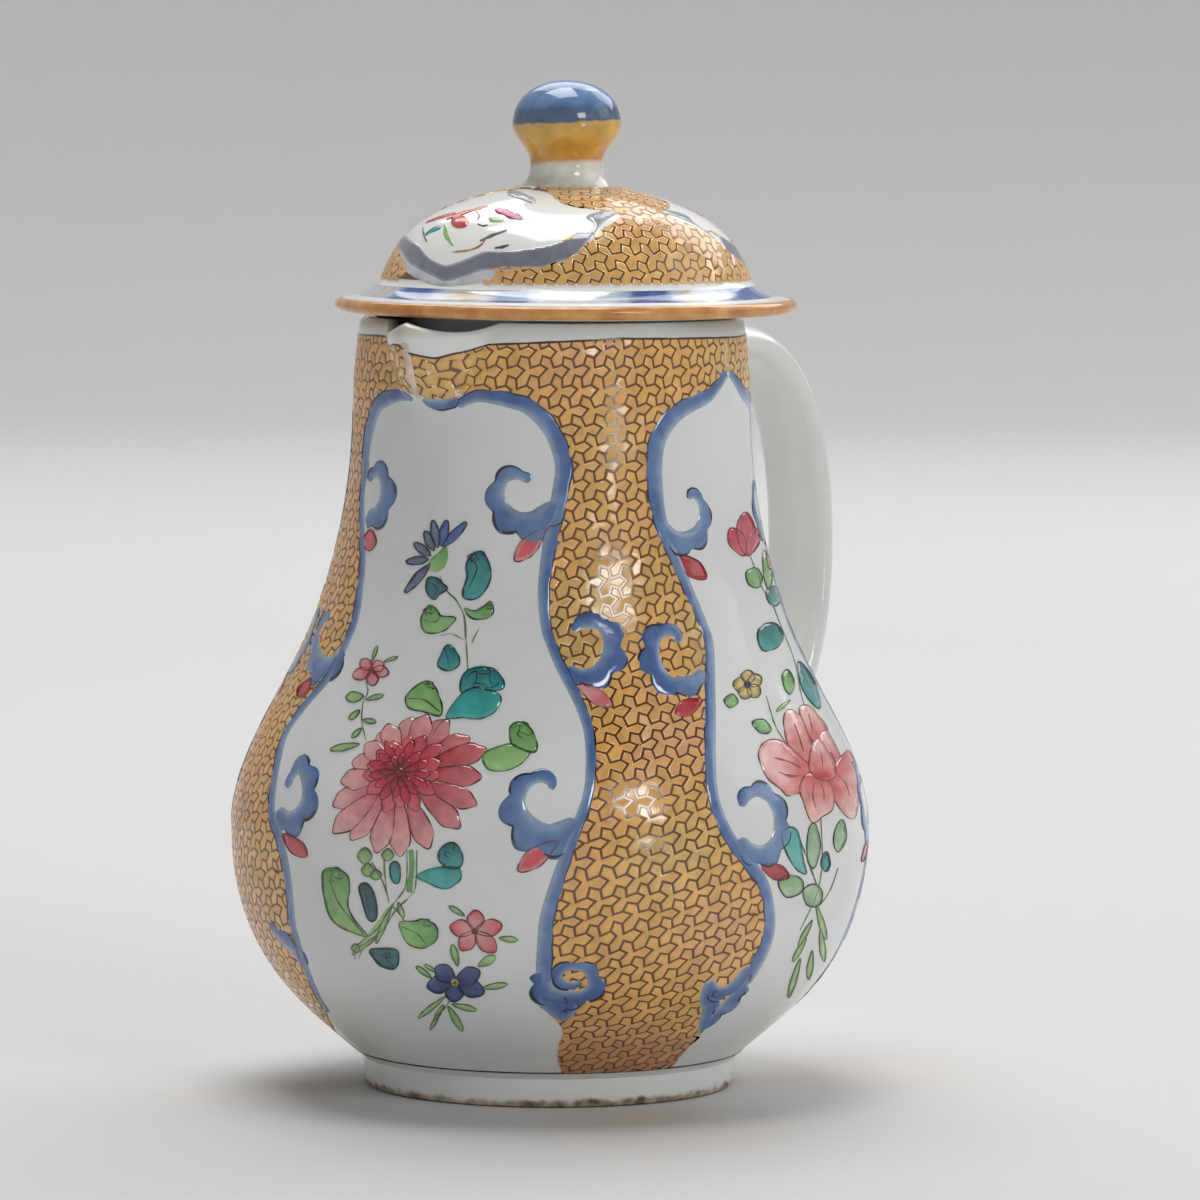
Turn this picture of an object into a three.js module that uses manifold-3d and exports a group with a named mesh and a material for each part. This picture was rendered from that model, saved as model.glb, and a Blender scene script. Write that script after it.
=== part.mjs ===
// A porcelain cream jug with its cover: pear-shaped body, pinched sparrow-beak
// spout, strap handle, domed cover with a locating ring and a ball knob.
// Millimetres, +Z up. The jug stands on z = 0 with its spout towards -X and its
// handle towards +X. The origin is under the middle of the jug's whole outline.
import * as THREE from 'three';
import * as BufferGeometryUtils from 'three/addons/utils/BufferGeometryUtils.js';
import Module from 'manifold-3d';

const wasm = await Module();
wasm.setup();

// Sizes of the thrown body
const bellyRadius = 43.1;
const bellyHeight = 34.8;
const neckRadius = 26.6;
const mouthRadius = 25.9;
const mouthHeight = 103.8;
const neckDrop = 8.3;
const neckHeight = mouthHeight - neckDrop;
const wall = 2.4;
const floorThickness = 3;

// Sizes of the turned foot
const footRadius = 25.2;
const footHeight = 3.9;
const footRingWidth = 2.9;
const footRecess = 3.4;
const footTaper = 0.4;
const footChamfer = 0.5;

// Sizes of the pinched beak
const beakReach = 6.2;
const beakHeight = 11.4;
const beakHalfAngle = 22;
const beakFootHalfAngle = 4;
const beakLipDip = 1.2;

// Sizes of the pulled strap handle
const handleReach = 59.5;
const handleTopDrop = 7.6;
const handleTopHeight = mouthHeight - handleTopDrop;
const handleMiddleHeight = 70.2;
const handleFootHeight = 43.8;
const handleArch = 9.6;
const strapWidth = 10.6;
const strapThickness = 5;

// Sizes of the cover
const brimRadius = 31.4;
const brimThickness = 2.1;
const brimEdgeLift = 0.3;
const domeFootRadius = 24.95;
const domeFootRise = 4.5;
const domeRise = 12.9;
const coverWall = 2.4;
const ringPlay = 2.3;
const ringWall = 2.2;
const ringHeight = 6;

// Sizes of the knob
const knobRadius = 7.3;
const knobHeight = 13.6;
const knobFootRadius = 6.2;
const knobNeckRadius = 4.9;
const knobNeckHeight = 2.4;
const knobFootEdge = 0.35;

// Gap between pieces that are seated on one another
const seatGap = 0.3;

// How far cutting shapes run past what they cut
const overrun = 4;

// The loose cover rests to one side of the mouth, by most of its play
const coverShiftShare = 0.8;
const coverShiftAngle = -52;

// Facets
const bodySegments = 56;
const coverSegments = 48;
const knobSegments = 28;
const beakSegments = 180;
const beakSteps = 10;
const strapSides = 14;
const strapSteps = 22;

const glaze = (color, roughness) => new THREE.MeshStandardMaterial({ color, roughness, metalness: 0 });
const bodyGlaze = glaze(0xc9a766, 0.18);
const whiteGlaze = glaze(0xe9ece9, 0.14);
const coverGlaze = glaze(0xc6a468, 0.18);
const knobGlaze = glaze(0x5d7fb8, 0.16);

const point = (radius, height) => new THREE.Vector2(radius, height);

const span = (start, startPull, endPull, end, steps) =>
  new THREE.CubicBezierCurve(start, startPull, endPull, end).getPoints(steps);

// A half round that turns the profile over at a lip or an edge
function roundOver(outerPoint, innerPoint, steps) {
  const middle = outerPoint.clone().add(innerPoint).multiplyScalar(1 / 2);
  const spoke = outerPoint.clone().sub(middle);
  const points = [];
  for (let step = 1; step < steps; step += 1) {
    const turned = spoke.clone().rotateAround(point(0, 0), Math.PI * step / steps);
    points.push(middle.clone().add(turned));
  }
  return points;
}

// A copy of a profile, moved square to itself by a wall thickness
function offset(points, distance) {
  return points.map((here, index) => {
    const before = points[Math.max(index - 1, 0)];
    const after = points[Math.min(index + 1, points.length - 1)];
    const along = after.clone().sub(before).normalize();
    return point(here.x - along.y * distance, here.y + along.x * distance);
  });
}

// A profile turned about the vertical axis
function turn(profile, segments) {
  const geometry = new THREE.LatheGeometry(profile, segments);
  return geometry.rotateX(Math.PI / 2);
}

// A closed solid from a geometry: shared corners merged, empty facets dropped
function solid(geometry) {
  const bare = geometry.clone();
  bare.deleteAttribute('normal');
  bare.deleteAttribute('uv');
  const merged = BufferGeometryUtils.mergeVertices(bare);
  const corners = merged.index.array;
  const kept = [];
  for (let first = 0; first < corners.length; first += 3) {
    const [a, b, c] = corners.slice(first, first + 3);
    if (a !== b && b !== c && c !== a) kept.push(a, b, c);
  }
  return new wasm.Manifold(new wasm.Mesh({
    numProp: 3,
    vertProperties: new Float32Array(merged.attributes.position.array),
    triVerts: new Uint32Array(kept),
  }));
}

function geometryOf(body) {
  const mesh = body.getMesh();
  const geometry = new THREE.BufferGeometry();
  geometry.setAttribute('position', new THREE.BufferAttribute(mesh.vertProperties, 3));
  geometry.setIndex(new THREE.BufferAttribute(mesh.triVerts, 1));
  geometry.computeVertexNormals();
  return geometry;
}

function piece(name, geometry, material) {
  const mesh = new THREE.Mesh(geometry, material);
  mesh.name = name;
  return mesh;
}

// Outline of the body
// The lower curve leaves the foot outwards and comes upright at the belly.
// The upper curve draws in from the belly and comes upright at the neck.
const footPullShare = 0.297;
const bellyLowerPullShare = 0.624;
const bellyUpperPullShare = 0.275;
const neckPullShare = 0.645;
const lowerSteps = 8;
const upperSteps = 12;

function bodyOutline() {
  const bellyRise = bellyHeight - footHeight;
  const neckRise = neckHeight - bellyHeight;
  const foot = point(footRadius, footHeight);
  const belly = point(bellyRadius, bellyHeight);
  const neck = point(neckRadius, neckHeight);
  const mouth = point(mouthRadius, mouthHeight - wall / 2);
  const footPull = (bellyRadius - footRadius) * footPullShare;
  const lower = span(
    foot,
    point(footRadius + footPull, footHeight + footPull),
    point(bellyRadius, bellyHeight - bellyRise * bellyLowerPullShare),
    belly,
    lowerSteps,
  );
  const upper = span(
    belly,
    point(bellyRadius, bellyHeight + neckRise * bellyUpperPullShare),
    point(neckRadius, neckHeight - neckRise * neckPullShare),
    neck,
    upperSteps,
  );
  return [...lower, ...upper.slice(1), mouth];
}

const outline = bodyOutline();
const insideOutline = offset(outline, wall);
const lipPoints = roundOver(outline[outline.length - 1], insideOutline[insideOutline.length - 1], 6);

function bodyProfile() {
  const ringInner = footRadius - footTaper - footRingWidth;
  const underside = [
    point(0, footRecess),
    point(ringInner - footTaper, footRecess),
    point(ringInner, footChamfer),
    point(ringInner + footChamfer, 0),
    point(footRadius - footTaper - footChamfer, 0),
    point(footRadius - footTaper, footChamfer),
  ];
  const insideFloor = footRecess + floorThickness;
  const insideWall = insideOutline.filter((spot) => spot.y > insideFloor);
  return [
    ...underside,
    ...outline,
    ...lipPoints,
    ...insideWall.reverse(),
    point(insideWall[insideWall.length - 1].x - wall, insideFloor),
    point(0, insideFloor),
  ];
}

// The beak: how far the wall is pinched out at an angle from the spout's middle
const beakBottom = mouthHeight - beakHeight;
const beakNoseShare = 0.16;
const beakSpreadShare = 0.6;
const beakFlankShare = 1.15;
const beakDipShare = 0.6;

function beakShare(height) {
  return THREE.MathUtils.clamp((height - beakBottom) / beakHeight, 0, 1);
}

function beakHalfWidth(height) {
  const spread = beakShare(height) ** beakSpreadShare;
  const halfAngle = THREE.MathUtils.lerp(beakFootHalfAngle, beakHalfAngle, spread);
  return THREE.MathUtils.degToRad(halfAngle);
}

function pinch(angle, height) {
  const across = Math.abs(angle) / beakHalfWidth(height);
  if (across >= 1 || beakShare(height) === 0) return { out: 0, down: 0 };
  const softened = Math.hypot(across, beakNoseShare) - beakNoseShare;
  const full = Math.hypot(1, beakNoseShare) - beakNoseShare;
  const rise = Math.sin(Math.PI / 2 * beakShare(height));
  const out = beakReach * rise * (1 - softened / full) ** beakFlankShare;
  const down = beakLipDip * beakShare(height) * Math.sin(Math.PI * across ** beakDipShare);
  return { out, down };
}

// The outline's radius at a height
function radiusAt(height) {
  const index = outline.findIndex((spot, here) => here > 0 && spot.y >= height);
  const above = outline[index];
  const below = outline[index - 1];
  return THREE.MathUtils.mapLinear(height, below.y, above.y, below.x, above.x);
}

function beakShell() {
  const start = beakBottom - overrun;
  const end = outline[outline.length - 1].y;
  const outside = [];
  for (let step = 0; step <= beakSteps; step += 1) {
    const height = THREE.MathUtils.lerp(start, end, step / beakSteps);
    outside.push(point(radiusAt(height), height));
  }
  const inside = outside.map((spot) => point(spot.x - wall, spot.y)).reverse();
  const profile = [...outside, ...lipPoints, ...inside, outside[0].clone()];
  const geometry = turn(profile, beakSegments);
  const position = geometry.attributes.position;
  for (let index = 0; index < position.count; index += 1) {
    const x = position.getX(index);
    const y = position.getY(index);
    const z = position.getZ(index);
    const radius = Math.hypot(x, y);
    const moved = pinch(Math.atan2(y, -x), z);
    const grown = (radius + moved.out) / radius;
    position.setXYZ(index, x * grown, y * grown, z - moved.down);
  }
  return solid(geometry);
}

// The notch that the potter cuts in the wall for the beak, seen from the spout
const notchSteps = 8;

function notch(inset) {
  const side = [];
  for (let step = 0; step <= notchSteps; step += 1) {
    const height = beakBottom + beakHeight * step / notchSteps;
    const halfWidth = neckRadius * Math.sin(beakHalfWidth(height));
    side.push(point(halfWidth - inset, height + inset));
  }
  const top = mouthHeight + overrun;
  const shape = new THREE.Shape([
    ...side,
    point(side[side.length - 1].x, top),
    point(-side[side.length - 1].x, top),
    ...side.map((spot) => point(-spot.x, spot.y)).reverse(),
  ]);
  const reach = neckRadius + beakReach + overrun;
  const geometry = new THREE.ExtrudeGeometry(shape, { depth: reach, bevelEnabled: false });
  geometry.rotateX(Math.PI / 2);
  geometry.rotateZ(-Math.PI / 2);
  return solid(geometry);
}

// The outside of the body as a full solid, grown by a gap, to fit pieces to it
function bodyEnvelope(gap) {
  const grown = offset(outline, -gap);
  const low = grown[0];
  const high = grown[grown.length - 1];
  const profile = [point(0, low.y), ...grown, point(0, high.y)];
  return solid(turn(profile, bodySegments));
}

// The handle: a straight bar of oval section, bent along its curve
const handleRootDepthShare = 0.6;
const handleRisePullShare = 0.66;
const handleDropPullShare = 0.83;
const handleLowerPullShare = 0.455;
const handleTuckShare = 0.975;
const flareShare = 0.3;
const flareReachShare = 0.16;

function handleCurve() {
  const at = (x, z) => new THREE.Vector3(x, 0, z);
  const rootDepth = strapThickness * handleRootDepthShare;
  const topRoot = radiusAt(handleTopHeight) - rootDepth;
  const footRoot = radiusAt(handleFootHeight) - rootDepth;
  const outer = handleReach - strapThickness / 2;
  const upperDrop = handleTopHeight - handleMiddleHeight;
  const lowerDrop = handleMiddleHeight - handleFootHeight;
  const upper = new THREE.CubicBezierCurve3(
    at(topRoot, handleTopHeight),
    at(topRoot + (outer - topRoot) * handleRisePullShare, handleTopHeight + handleArch),
    at(outer, handleMiddleHeight + upperDrop * handleDropPullShare),
    at(outer, handleMiddleHeight),
  );
  const lower = new THREE.CubicBezierCurve3(
    at(outer, handleMiddleHeight),
    at(outer, handleMiddleHeight - lowerDrop * handleLowerPullShare),
    at(footRoot + (outer - footRoot) * (1 - handleTuckShare / 4), handleFootHeight),
    at(footRoot, handleFootHeight),
  );
  const path = new THREE.CurvePath();
  path.add(upper);
  path.add(lower);
  return path;
}

function handleBar() {
  const shape = new THREE.Shape();
  shape.absellipse(0, 0, strapThickness / 2, strapWidth / 2, 0, Math.PI * 2);
  const bar = new THREE.ExtrudeGeometry(shape, {
    depth: 1,
    steps: strapSteps,
    curveSegments: strapSides,
    bevelEnabled: false,
  });
  const path = handleCurve();
  const position = bar.attributes.position;
  const across = new THREE.Vector3(0, 1, 0);
  for (let index = 0; index < position.count; index += 1) {
    const share = position.getZ(index);
    const along = path.getTangentAt(share);
    const outward = new THREE.Vector3().crossVectors(across, along);
    const toEnd = Math.min(share, 1 - share) / flareReachShare;
    const flare = 1 + flareShare * Math.max(0, 1 - toEnd) ** 2;
    const spot = path.getPointAt(share);
    spot.addScaledVector(outward, position.getX(index) * flare);
    spot.addScaledVector(across, position.getY(index) * flare);
    position.setXYZ(index, spot.x, spot.y, spot.z);
  }
  return solid(bar);
}

// Heights of the seated cover
const brimUnder = mouthHeight + seatGap;
const brimTop = brimUnder + brimThickness;
const domeFoot = brimUnder + domeFootRise;
const domeTop = domeFoot + domeRise;
const ringOuter = mouthRadius - wall - ringPlay;
const ringInner = ringOuter - ringWall;

// The cover: a brim that curls up to the foot of the dome, and the dome
const brimHollowShare = 0.42;
const brimCurlShare = 0.72;
const domeSideShare = 0.11;
const domeSideRiseShare = 0.55;
const domeShoulderShare = 0.22;
const domeShoulderRiseShare = 0.76;
const brimSteps = 5;
const domeSteps = 9;

function domeOutline() {
  return span(
    point(domeFootRadius, domeFoot),
    point(domeFootRadius * (1 - domeSideShare), domeFoot + domeRise * domeSideRiseShare),
    point(domeFootRadius * (1 - domeShoulderShare), domeFoot + domeRise * domeShoulderRiseShare),
    point(knobNeckRadius, domeTop),
    domeSteps,
  );
}

function coverProfile() {
  const dome = domeOutline();
  const inside = offset(dome, coverWall);
  const edgeLow = point(brimRadius - brimThickness / 2, brimUnder + brimEdgeLift);
  const edgeHigh = point(brimRadius - brimThickness / 2, brimTop);
  const brimWidth = edgeHigh.x - domeFootRadius;
  const brim = span(
    edgeHigh,
    point(edgeHigh.x - brimWidth * brimHollowShare, brimTop),
    point(domeFootRadius + brimWidth * (1 - brimCurlShare) / 2, THREE.MathUtils.lerp(brimTop, domeFoot, 1 / 2)),
    dome[0],
    brimSteps,
  );
  const insideDome = inside.filter((spot) => spot.y > domeFoot && spot.x > 0).reverse();
  return [
    point(0, insideDome[0].y),
    ...insideDome,
    point(ringInner, brimUnder + coverWall),
    point(ringInner, brimUnder),
    point(mouthRadius, brimUnder),
    edgeLow,
    ...roundOver(edgeLow, edgeHigh, 5),
    edgeHigh,
    ...brim.slice(1),
    ...dome.slice(1),
    point(0, domeTop),
  ];
}

// The ring under the cover that keeps it over the mouth
function ringProfile() {
  const top = brimUnder - seatGap;
  const bottom = top - ringHeight;
  const edge = ringWall / 4;
  return [
    point(ringInner + edge, bottom),
    point(ringOuter - edge, bottom),
    point(ringOuter, bottom + edge),
    point(ringOuter, top),
    point(ringInner, top),
    point(ringInner, bottom + edge),
    point(ringInner + edge, bottom),
  ];
}

// The knob: a ball drawn out below into a neck that spreads where it stands on the dome
const knobWidestShare = 0.56;
const knobBowlShare = 0.42;
const knobFootPullShare = 0.6;
const quarterRoundShare = 0.6;

function knobProfile() {
  const bottom = domeTop + seatGap;
  const neckTop = bottom + knobNeckHeight;
  const top = bottom + knobHeight;
  const widest = bottom + knobHeight * knobWidestShare;
  const bowl = widest - neckTop;
  const crown = top - widest;
  const neck = span(
    point(knobFootRadius, bottom + knobFootEdge),
    point(THREE.MathUtils.lerp(knobFootRadius, knobNeckRadius, knobFootPullShare), bottom + knobFootEdge),
    point(knobNeckRadius, neckTop - knobNeckHeight * knobFootPullShare),
    point(knobNeckRadius, neckTop),
    4,
  );
  const lower = span(
    point(knobNeckRadius, neckTop),
    point(knobNeckRadius, neckTop + bowl * knobBowlShare),
    point(knobRadius, widest - bowl * knobBowlShare),
    point(knobRadius, widest),
    5,
  );
  const upper = span(
    point(knobRadius, widest),
    point(knobRadius, widest + crown * quarterRoundShare),
    point(knobRadius * quarterRoundShare, top),
    point(0, top),
    6,
  );
  return [point(0, bottom), point(knobFootRadius, bottom), ...neck, ...lower.slice(1), ...upper.slice(1)];
}

// The jug stands with its outline, belly to handle, centred over the origin
const jug = new THREE.Group();
jug.position.x = (bellyRadius - handleReach) / 2;

const thrownBody = solid(turn(bodyProfile(), bodySegments)).subtract(notch(0));
const beak = beakShell().intersect(notch(seatGap));
const handle = handleBar().subtract(bodyEnvelope(seatGap));
jug.add(piece('thrown_body', geometryOf(thrownBody), bodyGlaze));
jug.add(piece('beak_spout', geometryOf(beak), whiteGlaze));
jug.add(piece('strap_handle', geometryOf(handle), whiteGlaze));

const cover = new THREE.Group();
const coverShift = ringPlay * coverShiftShare;
const coverTurn = THREE.MathUtils.degToRad(coverShiftAngle);
cover.position.set(coverShift * Math.cos(coverTurn), coverShift * Math.sin(coverTurn), 0);
cover.add(piece('cover_dome', turn(coverProfile(), coverSegments), coverGlaze));
cover.add(piece('cover_locating_ring', turn(ringProfile(), coverSegments), whiteGlaze));
cover.add(piece('cover_knob', turn(knobProfile(), knobSegments), knobGlaze));

const assembly = new THREE.Group();
assembly.add(jug);
jug.add(cover);

export default assembly;
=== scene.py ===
# %% [markdown]
# # A porcelain cream jug, potted and enamelled
# The real jug is about 135 mm tall. It is white porcelain, glazed, and painted over
# the glaze with raised enamels: a gold ground of interlocking Ys, four white panels
# with blue scrolled borders, and a spray of flowers in each panel.
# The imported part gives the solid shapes, the sizes and the joint of the cover.
# It is loaded first, so that every piece made below fits it.

# %% Load the frame
import math
import random

import bpy
import numpy as np
from mathutils import Matrix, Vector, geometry, noise


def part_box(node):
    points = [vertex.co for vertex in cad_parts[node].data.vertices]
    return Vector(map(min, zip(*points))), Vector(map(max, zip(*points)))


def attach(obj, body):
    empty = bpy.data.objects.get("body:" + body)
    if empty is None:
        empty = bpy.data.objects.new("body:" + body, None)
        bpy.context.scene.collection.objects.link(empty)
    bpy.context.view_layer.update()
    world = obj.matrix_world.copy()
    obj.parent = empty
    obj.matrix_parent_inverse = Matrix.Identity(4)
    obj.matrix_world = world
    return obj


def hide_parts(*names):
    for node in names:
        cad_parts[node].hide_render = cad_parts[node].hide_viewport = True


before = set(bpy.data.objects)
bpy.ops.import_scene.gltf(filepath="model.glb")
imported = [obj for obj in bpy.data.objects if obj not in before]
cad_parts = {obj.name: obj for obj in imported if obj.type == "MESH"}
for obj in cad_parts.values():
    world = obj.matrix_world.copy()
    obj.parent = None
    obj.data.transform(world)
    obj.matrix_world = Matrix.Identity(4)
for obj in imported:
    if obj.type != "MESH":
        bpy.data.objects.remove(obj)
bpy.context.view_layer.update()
bpy.ops.object.select_all(action="DESELECT")
print("nodes", sorted(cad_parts))

# %% [markdown]
# ## The potter's sizes
# A thrower works from a few measures, so the same measures lead here, in
# millimetres. The overall ones are read from the frame. The others are the ones
# that the solids were turned with.
# Blender works in metres, so one named scale turns millimetres into metres.

# %% Sizes in millimetres
mm = 0.001
body_low, body_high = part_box("thrown_body")
dome_low, dome_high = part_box("cover_dome")
knob_low, knob_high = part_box("cover_knob")
handle_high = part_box("strap_handle")[1]
jug_x = (body_low[0] + body_high[0]) / 2 / mm
cover_x = (dome_low[0] + dome_high[0]) / 2 / mm
cover_y = (dome_low[1] + dome_high[1]) / 2 / mm

enamel = 0.16
belly_radius = (body_high[1] - body_low[1]) / 2 / mm - enamel
belly_height = 34.8
neck_radius = 26.6
mouth_radius = 25.9
mouth_height = 103.8
neck_height = mouth_height - 8.3
wall = 2.4
floor_thickness = 3.0
foot_radius = 25.2
foot_height = 3.9
foot_ring_width = 2.9
foot_recess = 3.4
foot_round = 0.5
print("belly", belly_radius, "jug centre", jug_x, "cover centre", cover_x, cover_y)

# %% [markdown]
# ## The camera
# The photograph was taken from about a metre away with a long lens, a little above
# the cover and looking slightly down. A long lens keeps the jug's sides nearly
# parallel. The camera could be pointed with a Track To constraint, but its three
# axes are worked out by hand here, because the same axes later tell where a spot
# that is seen in the picture lies on the jug.

# %% Camera
view_azimuth = math.radians(-52)
view_distance = 1000.0
view_height = 145.0
view_pitch = math.radians(4.548)
view_roll = math.radians(0.25)
picture_size = 1200
focal_in_pixels = 7440
jug_column_in_pixels = 551
view_yaw = math.atan((picture_size / 2 - jug_column_in_pixels) / focal_in_pixels)
sensor_width = 36.0

eye = np.array([
    jug_x + view_distance * math.sin(view_azimuth),
    -view_distance * math.cos(view_azimuth),
    view_height,
])
ahead = np.array([
    -math.sin(view_azimuth) * math.cos(view_pitch),
    math.cos(view_azimuth) * math.cos(view_pitch),
    -math.sin(view_pitch),
])
rightward = np.cross(ahead, (0, 0, 1))
rightward = rightward / np.linalg.norm(rightward)
upward = np.cross(rightward, ahead)


def turned(first, second, angle):
    """Two square axes turned by an angle in their own plane."""
    cosine, sine = math.cos(angle), math.sin(angle)
    return first * cosine + second * sine, second * cosine - first * sine


rightward, upward = turned(rightward, upward, view_roll)
ahead, rightward = turned(ahead, rightward, view_yaw)

bpy.ops.object.camera_add(location=tuple(eye * mm))
camera = bpy.context.object
camera.name = "photo_camera"
camera.rotation_euler = Matrix(np.array([rightward, upward, -ahead]).T.tolist()).to_euler()
camera.data.sensor_width = sensor_width
camera.data.lens = sensor_width * focal_in_pixels / picture_size
camera.data.clip_start = 0.05
camera.data.clip_end = 30.0
bpy.context.scene.camera = camera
print("lens", round(camera.data.lens, 1), "mm")

# %% [markdown]
# ## The studio
# Porcelain shows its glaze by what it reflects, so the room matters as much as the
# jug. A photographer sets such a piece on a pale paper sweep, with one soft light
# overhead and one window-like light at the side. The sweep is a half outline spun
# into a shallow bowl, so that every view has the same pale background without a
# visible horizon.


# %% Studio
def linear(colour):
    """A colour given as 0 to 255 steps, as light values."""
    shares = [c / 255 for c in colour]
    return [c / 12.92 if c < 0.04045 else ((c + 0.055) / 1.055) ** 2.4 for c in shares]


def hue(*colour):
    """The light values of a colour as an array, which can be mixed."""
    return np.array(linear(colour))


def node(tree, kind, **values):
    """A shader node with its plain properties and sockets set."""
    made = tree.nodes.new(kind)
    for key, value in values.items():
        if hasattr(made, key):
            setattr(made, key, value)
        else:
            made.inputs[key.replace("_", " ")].default_value = value
    return made


def wire(tree, *joints):
    """Join sockets: each joint is a node, its output, another node and its input."""
    for source, leaving, target, entering in joints:
        tree.links.new(source.outputs[leaving], target.inputs[entering])


def ramp_of(tree, stops):
    """A colour ramp through stops of (place, colour)."""
    made = node(tree, "ShaderNodeValToRGB")
    elements = made.color_ramp.elements
    while len(elements) < len(stops):
        elements.new(0.5)
    for element, (place, colour) in zip(elements, stops):
        element.position = place
        element.color = (*linear(colour), 1)
    return made


def chain(name, spots):
    """A chain of corners, each one extruded from the one before."""
    bpy.ops.object.select_all(action="DESELECT")
    bpy.ops.mesh.primitive_plane_add(size=mm, location=(0, 0, 0))
    made = bpy.context.object
    made.name = name
    bpy.ops.object.mode_set(mode="EDIT")
    bpy.ops.mesh.merge(type="CENTER")
    bpy.ops.transform.translate(value=spots[0])
    for before, after in zip(spots, spots[1:]):
        step = tuple(b - a for a, b in zip(before, after))
        bpy.ops.mesh.extrude_region_move(TRANSFORM_OT_translate={"value": step})
    bpy.ops.object.mode_set(mode="OBJECT")
    return made


def spin(name, outline, centre, steps):
    """Turn a half outline of (radius, height) once around a vertical axis."""
    spots = [((centre[0] + r) * mm, centre[1] * mm, z * mm) for r, z in outline]
    made = chain(name, spots)
    bpy.ops.object.mode_set(mode="EDIT")
    bpy.ops.mesh.select_all(action="SELECT")
    middle = (centre[0] * mm, centre[1] * mm, 0)
    bpy.ops.mesh.spin(steps=steps, angle=math.tau, center=middle, axis=(0, 0, 1))
    bpy.ops.mesh.select_all(action="SELECT")
    bpy.ops.mesh.remove_doubles(threshold=mm / 1000)
    bpy.ops.mesh.normals_make_consistent(inside=False)
    bpy.ops.object.mode_set(mode="OBJECT")
    return made


def smooth(made, degrees=35):
    """Smooth shading, with edges sharper than the angle kept crisp."""
    bpy.ops.object.select_all(action="DESELECT")
    made.select_set(True)
    bpy.context.view_layer.objects.active = made
    bpy.ops.object.shade_smooth_by_angle(angle=math.radians(degrees))


def arc(centre, radius, start, end, steps):
    """Points on a circle from one angle to another, in degrees."""
    angles = [math.radians(start + (end - start) * k / steps) for k in range(steps + 1)]
    return [(centre[0] + radius * math.cos(a), centre[1] + radius * math.sin(a)) for a in angles]


sweep_radius = 2300.0
sweep_curve = 700.0
sweep_height = 2300.0
# The paper's tone is graded by distance: darker near the jug and lighter on the far wall. This is painted
# shade near the jug and painted light on the far wall, standing in for how the lamps light the sweep.
paper_reach_near = 700.0
paper_reach_far = 2100.0
paper_light_near = 0.62
paper_light_far = 0.92
paper_warmth = 0.005
paper_roughness = 0.75
air_colour = (0.93, 0.95, 1, 1)
air_light = 0.006
aim_height = belly_radius * 1.5
sweep_bend = arc((sweep_radius - sweep_curve, sweep_curve), sweep_curve, -90, 0, 16)
sweep = spin("studio_sweep", [(0, 0)] + sweep_bend + [(sweep_radius, sweep_height)], (0, 0), 96)
bpy.ops.object.mode_set(mode="EDIT")
bpy.ops.mesh.select_all(action="SELECT")
bpy.ops.mesh.flip_normals()
bpy.ops.object.mode_set(mode="OBJECT")
smooth(sweep, 60)

paper = bpy.data.materials.new("pale_paper")
paper.use_nodes = True
tree = paper.node_tree
shader = tree.nodes["Principled BSDF"]
shader.inputs["Roughness"].default_value = paper_roughness
place = node(tree, "ShaderNodeTexCoord")
reach = node(tree, "ShaderNodeVectorMath", operation="LENGTH")
span = node(
    tree, "ShaderNodeMapRange", From_Min=paper_reach_near * mm, From_Max=paper_reach_far * mm
)
paper_tone = node(tree, "ShaderNodeValToRGB")
for element, light in zip(paper_tone.color_ramp.elements, (paper_light_near, paper_light_far)):
    element.color = (light, light - paper_warmth, light - paper_warmth * 2, 1)
wire(
    tree,
    (place, "Object", reach, 0),
    (reach, "Value", span, "Value"),
    (span, "Result", paper_tone, "Fac"),
    (paper_tone, "Color", shader, "Base Color"),
)
sweep.data.materials.append(paper)

world = bpy.data.worlds.new("studio_air")
world.use_nodes = True
air = world.node_tree.nodes["Background"]
air.inputs["Color"].default_value = air_colour
air.inputs["Strength"].default_value = air_light
bpy.context.scene.world = world


def soft_light(name, turn, rise, distance, width, height, power):
    """An area light that faces the jug, placed by its angles from the camera's side."""
    around = math.atan2(-math.cos(view_azimuth), math.sin(view_azimuth)) + math.radians(turn)
    up = math.radians(rise)
    spot = np.array([math.cos(around) * math.cos(up), math.sin(around) * math.cos(up), math.sin(up)])
    spot = spot * distance + np.array([jug_x, 0, aim_height])
    bpy.ops.object.light_add(type="AREA", location=tuple(spot * mm))
    lamp = bpy.context.object
    lamp.name = name
    lamp.data.shape = "RECTANGLE"
    lamp.data.size = width * mm
    lamp.data.size_y = height * mm
    lamp.data.energy = power
    back = spot - np.array([jug_x, 0, aim_height])
    back = back / np.linalg.norm(back)
    side = np.cross((0, 0, 1), back)
    side = side / np.linalg.norm(side)
    over = np.cross(back, side)
    lamp.rotation_euler = Matrix(np.array([side, over, back]).T.tolist()).to_euler()


# Each light: its name, its turn and rise in degrees, its distance, width and height, its power.
studio_lights = (
    ("window_light", 34, 27, 1300, 360, 300, 3.2),
    ("low_window_light", 36, 3, 1300, 200, 150, 0.5),
    ("overhead_light", 20, 102, 1400, 700, 900, 13.0),
    ("back_light", 180, 45, 1700, 1200, 900, 8.2),
    ("right_light", 95, 30, 1700, 900, 900, 2.2),
    ("right_back_light", 140, 35, 1700, 900, 900, 6.4),
)
for name, turn, rise, distance, width, height, power in studio_lights:
    soft_light(name, turn, rise, distance, width, height, power)

view = bpy.context.scene.view_settings
view.view_transform = "Standard"
view.look = "None"
view.exposure = 0

# %% [markdown]
# ## Glaze
# Porcelain glaze is a clear, slightly blue glass over a white body. It is not
# perfectly even: it pools, and its surface ripples a little like orange peel.
# A Principled shader with low roughness, a faint colour noise and a very fine bump
# gives that. The noise reads Object coordinates, so it stays with the piece.


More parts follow.
